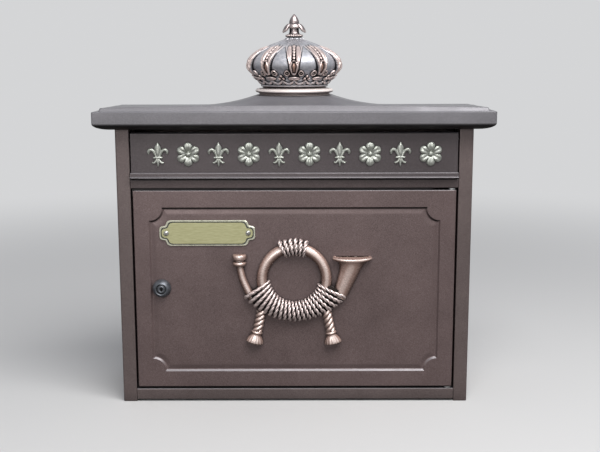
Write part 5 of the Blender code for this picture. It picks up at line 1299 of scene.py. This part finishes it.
# %% Studs that go through the door to the nuts
STUD_SIDES = 24
STUD_RADIUS = 0.002
STUD_PAST_NUT = 0.0012
for side, stud in (("left", left_stud), ("right", right_stud)):
    nut_back = max(nut_left[1].y, nut_right[1].y)
    profile = ((STUD_RADIUS, horn_seat), (STUD_RADIUS, nut_back + STUD_PAST_NUT - STUD_RADIUS / 4),
               (STUD_RADIUS * 0.75, nut_back + STUD_PAST_NUT))
    stud_rings = turned_rings(profile, (stud.x, 0, stud.z), "Y", STUD_SIDES)
    horn_stud = finished(add_skin(([], []), stud_rings),
                         f"horn_stud_{side}", zinc_steel)
    fit(horn_stud, "front_door", "zinc_steel")

# %% The pipe and the mouthpiece
PIPE_POINTS = ((-0.0425, -0.0225), (-0.0482, -0.0135), (-0.0545, 0.0009), (-0.0576, 0.0157))
PIPE_FOOT, PIPE_END = 0.0047, 0.0037
# Radius and height of the mouthpiece above the pipe's end
MOUTH_PROFILE = (
    (0.0030, -0.0016), (0.0060, -0.0010), (0.0071, 0.0002), (0.0074, 0.0016), (0.0073, 0.0028),
    (0.0066, 0.0037), (0.0053, 0.0042), (0.0050, 0.0050), (0.0060, 0.0056), (0.0074, 0.0062),
    (0.0078, 0.0074), (0.0078, 0.0096), (0.0074, 0.0110), (0.0066, 0.0117), (0.0040, 0.0119),
    (0.0012, 0.0119),
)
PIPE_STEPS, PIPE_SIDES, MOUTH_SIDES = 8, 18, 32
pipe_path = smooth_curve([on_horn(x, z) for x, z in PIPE_POINTS], PIPE_STEPS)
pipe_radii = [between(PIPE_FOOT, PIPE_END, i / (len(pipe_path) - 1)) for i in range(len(pipe_path))]
mouth_shell = add_skin(([], []), tube_rings(pipe_path, pipe_radii, PIPE_SIDES, horn_seat))
mouth_rings = turned_rings(MOUTH_PROFILE, pipe_path[-1], "Z", MOUTH_SIDES)
for ring in mouth_rings:
    for point in ring:
        point.y = min(point.y, horn_seat)
add_skin(mouth_shell, mouth_rings)
horn_mouthpiece = finished(mouth_shell, "horn_mouthpiece", horn_copper)
fit(horn_mouthpiece, "front_door", "horn_metal")

# %% The bell
# Places from the ring's centre, half width, half depth, and how far the ring has turned level
BELL_ROWS = (
    (0.0474, -0.0190, 0.0076, 0.0056, 0.0), (0.0510, -0.0100, 0.0084, 0.0061, 0.2),
    (0.0542, -0.0020, 0.0092, 0.0066, 0.4), (0.0572, 0.0060, 0.0102, 0.0070, 0.65),
    (0.0592, 0.0120, 0.0114, 0.0074, 0.9), (0.0603, 0.0160, 0.0128, 0.0077, 1.0),
    (0.0608, 0.0186, 0.0146, 0.0080, 1.0), (0.0612, 0.0202, 0.0172, 0.0083, 1.0),
    (0.0613, 0.0212, 0.0194, 0.0086, 1.0), (0.0613, 0.0219, 0.0207, 0.0088, 1.0),
    (0.0613, 0.0228, 0.0212, 0.0089, 1.0), (0.0613, 0.0237, 0.0210, 0.0088, 1.0),
    (0.0613, 0.0242, 0.0204, 0.0085, 1.0), (0.0613, 0.0241, 0.0197, 0.0080, 1.0),
    (0.0613, 0.0236, 0.0188, 0.0074, 1.0), (0.0612, 0.0234, 0.0140, 0.0054, 1.0),
    (0.0612, 0.0233, 0.0080, 0.0030, 1.0),
)
BELL_SIDES = 56
MOUTH_TILT = 0.17
MOUTH_TILT_START = 0.0150
# Degrees from straight down to a row's width, near the pipe and at the rim
BELL_SLANTS = (64, 90)
bell_rings = []
for x, z, wide, deep, level in BELL_ROWS:
    slant = math.radians(between(*BELL_SLANTS, level))
    across = Vector((math.sin(slant), 0, -math.cos(slant)))
    ring = horn_section(on_horn(x, z), across, wide, deep, BELL_SIDES)
    for spot in ring:
        spot.z += MOUTH_TILT * ease(0.0, MOUTH_TILT_START, z) * (spot.y - horn_y)
    bell_rings.append(ring)
horn_bell = finished(add_skin(([], []), bell_rings), "horn_bell", horn_copper)
fit(horn_bell, "front_door", "horn_metal")

# %% [markdown]
# ### The winding
# A cord of two twisted strands goes round the lower half of the ring twenty-one times. Its turns lie close
# together inside the ring and fan out outside it. Torus rings could stand side by side, but a real winding
# is one cord. So one long line runs round and round, and each strand spirals round that line.

# %% The line of a winding
CORD_RADIUS = 0.0015
CORD_SWELL = 0.00075
FRONT_STEPS = 36
BACK_STEPS = 5


def winding_line(turns, inner, outer, depth):
    """The centre line of a cord; inner and outer give (degrees, radius) at a share of the way."""
    line = []
    for number in range(turns):
        for step in range(FRONT_STEPS + BACK_STEPS):
            in_front = step < FRONT_STEPS
            phase = math.pi * (step / FRONT_STEPS if in_front else 1 + (step - FRONT_STEPS) / BACK_STEPS)
            share = (number + phase / (2 * math.pi)) / turns
            near, far = on_ring(inner(share)[1], inner(share)[0]), on_ring(outer(share)[1], outer(share)[0])
            spot = (near + far) / 2 - (far - near) / 2 * math.cos(phase)
            spot.y = horn_y - depth * math.sin(phase) if in_front else horn_y
            line.append((spot, (1 - math.cos(phase)) / 2, share))
    return line


# %% The winding round the lower half
WINDING_TURNS = 21
WINDING_DEPTH = 0.0070
# How far the strands part at the start and at the end
WINDING_LOOSE = (0.16, 0.46)
CORD_STRANDS = 2
CORD_LAY = 0.0125
INNER_DEGREES = (183.5, 356.5)
OUTER_DEGREES = (197.0, 345.0)
INNER_RADIUS, INNER_FLARE = 0.0230, 0.0022
OUTER_RADIUS, OUTER_FLARE = 0.0450, (0.0125, 0.0155)


def winding_inner(share):
    away = 2 * share - 1
    return between(*INNER_DEGREES, share), INNER_RADIUS + INNER_FLARE * away * away + CORD_RADIUS


def winding_outer(share):
    away = 2 * share - 1
    flare = OUTER_FLARE[0] if away < 0 else OUTER_FLARE[1]
    return between(*OUTER_DEGREES, share), OUTER_RADIUS + flare * away * away - CORD_RADIUS


def wound(name, line, lay, loose_start, loose_end):
    """A wound cord that swells where its turns fan out and loosens along its way."""
    path = [spot for spot, _, _ in line]
    radii = [CORD_RADIUS + CORD_SWELL * outward for _, outward, _ in line]
    apart = [between(loose_start, loose_end, ease(0.1, 0.6, share)) for _, _, share in line]
    shell = add_twist(([], []), path, radii, CORD_STRANDS, lay, horn_seat, apart)
    print(name, "takes", round(sum((b - a).length for a, b in zip(path, path[1:])), 2), "m of cord")
    return fit(finished(shell, name, cord_copper, 80), "front_door", "horn_metal")


line = winding_line(WINDING_TURNS, winding_inner, winding_outer, WINDING_DEPTH)
wound("horn_winding", line, CORD_LAY, *WINDING_LOOSE)

# %% The solid metal under the winding
CORE_STEPS = 60
CORE_INSET = 0.0010
CORE_DEPTH = 0.0060
CORE_SIDES = 18
core_rings = []
for step in range(CORE_STEPS + 1):
    share = step / CORE_STEPS
    near = on_ring(winding_inner(share)[1] + CORE_INSET, winding_inner(share)[0])
    far = on_ring(winding_outer(share)[1] - CORE_INSET, winding_outer(share)[0])
    core_rings.append(horn_section((near + far) / 2, (far - near) / 2, 1, CORE_DEPTH, CORE_SIDES))
winding_core = finished(add_skin(([], []), core_rings), "winding_core", core_shade_copper)
fit(winding_core, "front_door", "horn_metal")

# %% The short wrap at the top
WRAP_TURNS = 6
WRAP_DEGREES = (111.0, 65.5)
WRAP_SLANT = 3.0
WRAP_INNER, WRAP_OUTER = 0.0250, 0.0441
WRAP_DEPTH = 0.0066
WRAP_LAY = 0.0105
WRAP_LOOSE = (0.42, 0.42)
wrap_line = winding_line(
    WRAP_TURNS,
    lambda share: (between(*WRAP_DEGREES, share) - WRAP_SLANT, WRAP_INNER + CORD_RADIUS),
    lambda share: (between(*WRAP_DEGREES, share) + WRAP_SLANT, WRAP_OUTER - CORD_RADIUS),
    WRAP_DEPTH)
wound("horn_top_wrap", wrap_line, WRAP_LAY, *WRAP_LOOSE)

# %% [markdown]
# ### The tassels
# Each tassel is a thick twisted cord, a collar and a bell-shaped skirt with fine grooves. The cord uses the
# same twist as the winding, only thicker. The skirt is a turned shape whose radius ripples round it.

# %% Two tassels
TASSEL_LINES = {"left": ((-0.0350, -0.0340), (-0.0373, -0.0460), (-0.0397, -0.0565)),
                "right": ((0.0340, -0.0340), (0.0365, -0.0460), (0.0388, -0.0570))}
TASSEL_CORD = 0.0050
TASSEL_STRANDS, TASSEL_APART = 3, 0.56
TASSEL_STEPS, TASSEL_SIDES = 14, 12
TASSEL_LAY = 0.0165
TASSEL_GROOVES = 16
# Distance below the cord's end, half width and half depth of the skirt
SKIRT_ROWS = (
    (-0.0012, 0.0042, 0.0038), (0.0000, 0.0058, 0.0052), (0.0012, 0.0062, 0.0055),
    (0.0024, 0.0054, 0.0050), (0.0034, 0.0050, 0.0046), (0.0050, 0.0060, 0.0050),
    (0.0075, 0.0076, 0.0056), (0.0100, 0.0087, 0.0060), (0.0120, 0.0092, 0.0062),
    (0.0130, 0.0088, 0.0060), (0.0134, 0.0074, 0.0050), (0.0128, 0.0040, 0.0030),
)
SKIRT_SIDES = 64
GROOVE_DEPTH, GROOVE_START, GROOVE_FULL = 0.035, 0.004, 0.008
for side, stops in TASSEL_LINES.items():
    cord = smooth_curve([on_horn(x, z) for x, z in stops], TASSEL_STEPS)
    shell = add_twist(([], []), cord, [TASSEL_CORD] * len(cord), TASSEL_STRANDS, TASSEL_LAY, horn_seat,
                      [TASSEL_APART] * len(cord), TASSEL_SIDES)
    end, along = cord[-1], (cord[-1] - cord[-2]).normalized()
    across = Vector((-along.z, 0, along.x))
    rings = []
    for down, wide, deep in SKIRT_ROWS:
        fine = ease(GROOVE_START, GROOVE_FULL, down)
        rings.append(horn_section(
            end + along * down, across, wide, deep, SKIRT_SIDES,
            lambda turn: 1 + GROOVE_DEPTH * math.cos(TASSEL_GROOVES * turn) * fine))
    fit(finished(add_skin(shell, rings), f"horn_tassel_{side}", horn_copper, 60), "front_door", "horn_metal")

# %% [markdown]
# ## The crown
# The crown is the finest casting: ten arches, each with two leaf-shaped ridges, a string of beads, a leaf
# with its scrolls and an oval pearl, over a wavy ribbon and a round band. It could be sculpted, but then no
# two arches would match. So the body is a turned shape with very many points, and a formula says how far
# each one stands out. One arch is described, and all ten have it.

# %% The crown's outline
body_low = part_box("crown_body")[0]
CROWN_ARCHES = 10
CROWN_TURN = math.radians(360 / CROWN_ARCHES)
# Height above the crown body's foot and radius, read off the outline in the photograph
CROWN_OUTLINE = (
    (0.0000, 0.0350), (0.0030, 0.0362), (0.0060, 0.0384), (0.0110, 0.0421), (0.0145, 0.0447),
    (0.0180, 0.0472), (0.0210, 0.0483), (0.0240, 0.0486), (0.0270, 0.0482), (0.0301, 0.0468),
    (0.0353, 0.0419), (0.0390, 0.0365), (0.0422, 0.0303), (0.0445, 0.0245), (0.0465, 0.0189),
    (0.0480, 0.0150), (0.0491, 0.0118), (0.0500, 0.0100), (0.0512, 0.0093),
)
CURVE_STEPS = 6
crown_curve = [tuple(point[:2]) for point in smooth_curve(CROWN_OUTLINE, CURVE_STEPS)]


def crown_radius(rise):
    return read_table(crown_curve, rise)


# %% What stands out on one arch
# Heights above the crown body's foot
ARCH_HALF = (
    (0.010, 0.0042), (0.022, 0.0052), (0.030, 0.0070), (0.037, 0.0077), (0.042, 0.0068),
    (0.0465, 0.0048), (0.0512, 0.0031),
)
PANEL_FOOT, PANEL_SHOULDER, PANEL_DOME = 0.0130, 0.0310, 0.0105
PANEL_SINK = 0.0040
LEAF_FOOT, LEAF_TIP = 0.0127, 0.0288
LEAF_HALF = (
    (0.0, 0.0016), (0.2, 0.0033), (0.45, 0.0048), (0.6, 0.0047), (0.8, 0.0031), (0.93, 0.0013),
    (1.0, 0.0),
)
BEAD_PLACES = (0.0302, 0.0333, 0.0363, 0.0391, 0.0416)
BEAD_RADIUS = 0.0019
RIDGE_START = 0.0018
RIDGE_EDGE = 0.0003
RIDGE_HEIGHT = 0.0034
RIDGE_SHOULDER, RIDGE_TOP = 0.0350, 0.0435
PEARL_HEIGHT, PEARL_HALF_X, PEARL_HALF_Z = 0.0094, 0.0063, 0.0023
TREFOIL = ((0.0, 0.0116), (0.0021, 0.0092), (-0.0021, 0.0092))
TREFOIL_RADIUS = 0.0015
SCROLL_PLACE, SCROLL_RADIUS = (0.0072, 0.0144), 0.0031
RIBBON_MIDDLE, RIBBON_SWING, RIBBON_HALF = 0.0053, 0.0015, 0.0015
BAND_MIDDLE, BAND_HALF = 0.00125, 0.00125
ARCH_COPPER = 0.45


def leaf_relief(away, rise):
    """The raised leaf: a rim round a shallow cup. Returns how far it stands out and how much is cup."""
    share = (rise - LEAF_FOOT) / (LEAF_TIP - LEAF_FOOT)
    if not 0 < share < 1:
        return 0.0, 0.0
    place = abs(away) / max(0.0001, read_table(LEAF_HALF, share))
    if place >= 1:
        return 0.0, 0.0
    rim = bump(place - 0.76, 0.26) * 0.0010
    cup = ease(0.60, 0.40, place) * ease(0.06, 0.16, share) * ease(0.92, 0.78, share)
    swell = math.sin(math.pi * between(0.12, 0.9, share)) ** 0.4
    return 0.0040 * ease(1.0, 0.88, place) * swell + rim - cup * 0.0018, cup


def scroll_relief(away, rise):
    """A small volute beside the leaf: a spiral ridge with a round eye."""
    x, z = abs(away) - SCROLL_PLACE[0], rise - SCROLL_PLACE[1]
    distance = math.hypot(x, z)
    if distance > SCROLL_RADIUS * 1.25:
        return 0.0
    eye = bump(distance, 0.0010) * 0.0026
    coil = distance - SCROLL_RADIUS * (0.74 + 0.10 * math.sin(math.atan2(z, x)))
    return max(eye, bump(coil, 0.0008) * 0.0028)


def circlet_relief(away, rise, share, half_pitch):
    """The band, the wavy ribbon, the pearls and the trefoils round the crown's foot."""
    wave = RIBBON_MIDDLE + RIBBON_SWING * (1 - 2 * abs(math.sin(2 * math.pi * share)))
    relief = bump(rise - BAND_MIDDLE, BAND_HALF) * 0.0016
    relief -= 0.0026 * ease(wave, wave + 0.0010, rise) * ease(0.0142, 0.0122, rise)
    relief -= 0.0016 * ease(0.0024, 0.0030, rise) * ease(wave, wave - 0.0010, rise)
    relief = max(relief, bump(rise - wave, RIBBON_HALF) * 0.0022)
    oval = math.hypot(away / PEARL_HALF_X, (rise - PEARL_HEIGHT) / PEARL_HALF_Z)
    pearl = bump(oval, 1.0) * 0.0044
    for x, z in TREFOIL:
        distance = math.hypot(abs(away) - half_pitch - x, rise - z)
        pearl = max(pearl, bump(distance, TREFOIL_RADIUS) * 0.0042)
    return relief + pearl, 1.0 if oval < 1 else 0.0


def crown_relief(rise, share, radius):
    """How far a place stands out and how copper it is; share runs from -0.5 to 0.5 over one arch."""
    away = share * CROWN_TURN * radius
    half_pitch = 0.5 * CROWN_TURN * radius
    half = min(read_table(ARCH_HALF, rise), half_pitch * 0.86)
    relief = 0.0
    panel_half = half_pitch - half
    climb = max(0.0, rise - PANEL_SHOULDER) / PANEL_DOME
    outline = math.hypot((half_pitch - abs(away)) / panel_half, climb)
    inside = (1 - outline) * panel_half
    relief -= PANEL_SINK * ease(-0.0002, 0.0010, inside) * ease(PANEL_FOOT, PANEL_FOOT + 0.0030, rise)
    relief -= bump(inside - 0.0010, 0.0012) * 0.0012 * ease(0.014, 0.018, rise)
    relief += bump(inside + 0.0008, 0.0010) * 0.0013 * ease(0.016, 0.021, rise)
    ridge = ease(0.018, 0.024, rise) * ease(0.0440, 0.0405, rise)
    middle, wide = (RIDGE_START + half - RIDGE_EDGE) / 2, (half - RIDGE_EDGE - RIDGE_START) / 2
    lens = 0.25 + 0.75 * bump(max(0.0, rise - RIDGE_SHOULDER), RIDGE_TOP - RIDGE_SHOULDER)
    relief += bump(abs(away) - middle, max(wide * lens, 0.0004)) * RIDGE_HEIGHT * ridge
    relief -= ease(0.0021, 0.0014, abs(away)) * 0.0010 * ridge
    for place in BEAD_PLACES:
        distance = math.hypot(away, rise - place)
        relief = max(relief, bump(distance, BEAD_RADIUS) * 0.0034 - 0.0006)
    leaf, cup = leaf_relief(away, rise)
    scroll = scroll_relief(away, rise)
    relief = max(relief, leaf, scroll)
    edge_copper = ARCH_COPPER * ease(half, half - 0.0008, abs(away)) * ridge
    copper = max(cup, 0.25 if scroll > 0.0004 else 0.0, edge_copper)
    if rise < 0.0150:
        low, gold = circlet_relief(away, rise, share, half_pitch)
        relief = max(relief, low) if rise > 0.0125 else max(low, leaf, scroll)
        copper = max(copper, 0.35 * gold)
    return relief, copper


# %% The crown's body
CROWN_COLUMNS = 64
CROWN_SETBACK = 0.0012
SPREAD = 4
STAND_OUT = 0.0014
CROWN_ROW_STEPS = ((0.0, 0.0160, 66), (0.0160, 0.0440, 72), (0.0440, 0.0512, 13))
crown_rows = [between(low, high, i / count) for low, high, count in CROWN_ROW_STEPS for i in range(count)]
crown_rows.append(CROWN_ROW_STEPS[-1][1])
crown_rings, copper_work, reliefs = [], [], []
for rise in crown_rows:
    radius = crown_radius(rise)
    column = [crown_relief(rise, i / CROWN_COLUMNS - 0.5, radius) for i in range(CROWN_COLUMNS)]
    reliefs.append([relief for relief, _ in column])
    ring = []
    for number in range(CROWN_ARCHES):
        for i, (relief, copper) in enumerate(column):
            turn = CROWN_TURN * (number + i / CROWN_COLUMNS - 0.5) - math.pi / 2
            reach = radius + relief - CROWN_SETBACK
            ring.append((reach * math.cos(turn), reach * math.sin(turn), body_low.z + rise))
            copper_work.append(copper)
    crown_rings.append(ring)
crown_casting = finished(add_skin(([], []), crown_rings), "crown_casting", crown_pewter, 80)
work = crown_casting.data.attributes.new("copper_work", "FLOAT", "POINT")
work.data.foreach_set("value", copper_work)


def local_mean(rows, j, i):
    """The mean relief near a point, which its own relief is compared with."""
    near = [rows[max(0, min(len(rows) - 1, j + step))][i] for step in range(-SPREAD, SPREAD + 1)]
    near += [rows[j][(i + step) % CROWN_COLUMNS] for step in range(-SPREAD, SPREAD + 1)]
    return sum(near) / len(near)


# How far each point stands out above the relief round it; the finish paints high points pale and low ones
# near black, as painted highlight and painted shade.
stands_out = []
for j, row in enumerate(reliefs):
    marks = [0.5 + (relief - local_mean(reliefs, j, i)) / STAND_OUT for i, relief in enumerate(row)]
    stands_out += [max(0.0, min(1.0, mark)) for mark in marks] * CROWN_ARCHES
proud = crown_casting.data.attributes.new("stands_out", "FLOAT", "POINT")
proud.data.foreach_set("value", stands_out)
fit(crown_casting, "housing", "crown_metal", "crown_body")

# %% The crown's turned foot
# Height above the foot's underside and radius
FOOT_PROFILE = (
    (0.0060, 0.0), (0.0388, 0.0), (0.0380, 0.0005), (0.0374, 0.0013), (0.0376, 0.0020),
    (0.0392, 0.0025), (0.0404, 0.0029), (0.0411, 0.0035), (0.0415, 0.0043), (0.0414, 0.0051),
    (0.0408, 0.0059), (0.0398, 0.0065), (0.0384, 0.0069), (0.0356, 0.0071), (0.0342, 0.0072),
    (0.0336, 0.0080), (0.0060, 0.0080),
)
FOOT_SIDES = 128
foot_rings = turned_rings(FOOT_PROFILE, (0, 0, crown_base_low.z), "Z", FOOT_SIDES)
crown_foot = finished(add_skin(([], []), foot_rings, looped=True), "crown_foot", base_copper, 50)
fit(crown_foot, "housing", "crown_metal", "crown_base")

# %% [markdown]
# ### The finial
# A bud stands on the crown's neck, held by four leaves that droop out and down, over a ring of beads. Bud and
# collar are turned and the beads are small balls set round the ring. The leaves are one bent sheet with real
# thickness: it reaches far to the sides, less far to the front and back, and hardly between them.

# %% The finial
finial_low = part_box("crown_finial")[0]
# Radius and height above the finial's foot
BUD_PROFILE = (
    (0.0034, 0.0), (0.0078, 0.0), (0.0088, 0.0010), (0.0088, 0.0022), (0.0078, 0.0030),
    (0.0062, 0.0036), (0.0054, 0.0046), (0.0050, 0.0062), (0.0050, 0.0090), (0.0044, 0.0112),
    (0.0046, 0.0124), (0.0051, 0.0142), (0.0053, 0.0156), (0.0050, 0.0174), (0.0043, 0.0192),
    (0.0032, 0.0210), (0.0020, 0.0226), (0.0010, 0.0238), (0.0002, 0.0244),
)
BUD_SIDES = 48
BEAD_RING_RADIUS, BEAD_RING_HEIGHT, RING_BEAD, RING_BEADS = 0.0082, 0.0018, 0.00125, 26
BALL_STEPS, BALL_SIDES, BALL_TIP = 8, 10, 0.02
CALYX_TOP = 0.0146
CALYX_NECK = 0.0048
CALYX_SIDES = 72
LEAF_STEPS = 9
LEAF_REACH = {"short": 0.0044, "side": 0.0066, "front": 0.0006}
LEAF_THICKNESS = 0.0013
finial_shell = add_skin(([], []), turned_rings(BUD_PROFILE, (0, 0, finial_low.z), "Z", BUD_SIDES))
ball = [(RING_BEAD * max(BALL_TIP, math.sin(math.pi * step / BALL_STEPS)),
         -RING_BEAD * math.cos(math.pi * step / BALL_STEPS)) for step in range(BALL_STEPS + 1)]
for turn in around(RING_BEADS):
    place = (BEAD_RING_RADIUS * math.cos(turn), BEAD_RING_RADIUS * math.sin(turn),
             finial_low.z + BEAD_RING_HEIGHT)
    add_skin(finial_shell, turned_rings(ball, place, "Z", BALL_SIDES))


def calyx_point(turn, share, under):
    """A point of the drooping leaves; share runs from the bud to the leaf's edge."""
    side, front = max(0.0, math.cos(2 * turn)) ** 0.32, max(0.0, -math.cos(2 * turn)) ** 0.6
    length = LEAF_REACH["short"] + (LEAF_REACH["side"] * side + LEAF_REACH["front"] * front)
    reach = CALYX_NECK + length * (0.72 * share ** 0.9) - under * LEAF_THICKNESS * 0.5
    rise = CALYX_TOP - length * (0.10 * share + 0.68 * share ** 2.4) - under * LEAF_THICKNESS
    return (reach * math.cos(turn), reach * math.sin(turn), finial_low.z + rise)


rings = []
shares = [step / LEAF_STEPS for step in range(LEAF_STEPS + 1)]
for share, under in [(share, 0) for share in shares] + [(share, 1) for share in reversed(shares)]:
    rings.append([calyx_point(turn, share, under) for turn in around(CALYX_SIDES)])
add_skin(finial_shell, rings, looped=True)
finial = finished(finial_shell, "finial", finial_pewter, 70)
fit(finial, "housing", "crown_metal", "crown_finial")
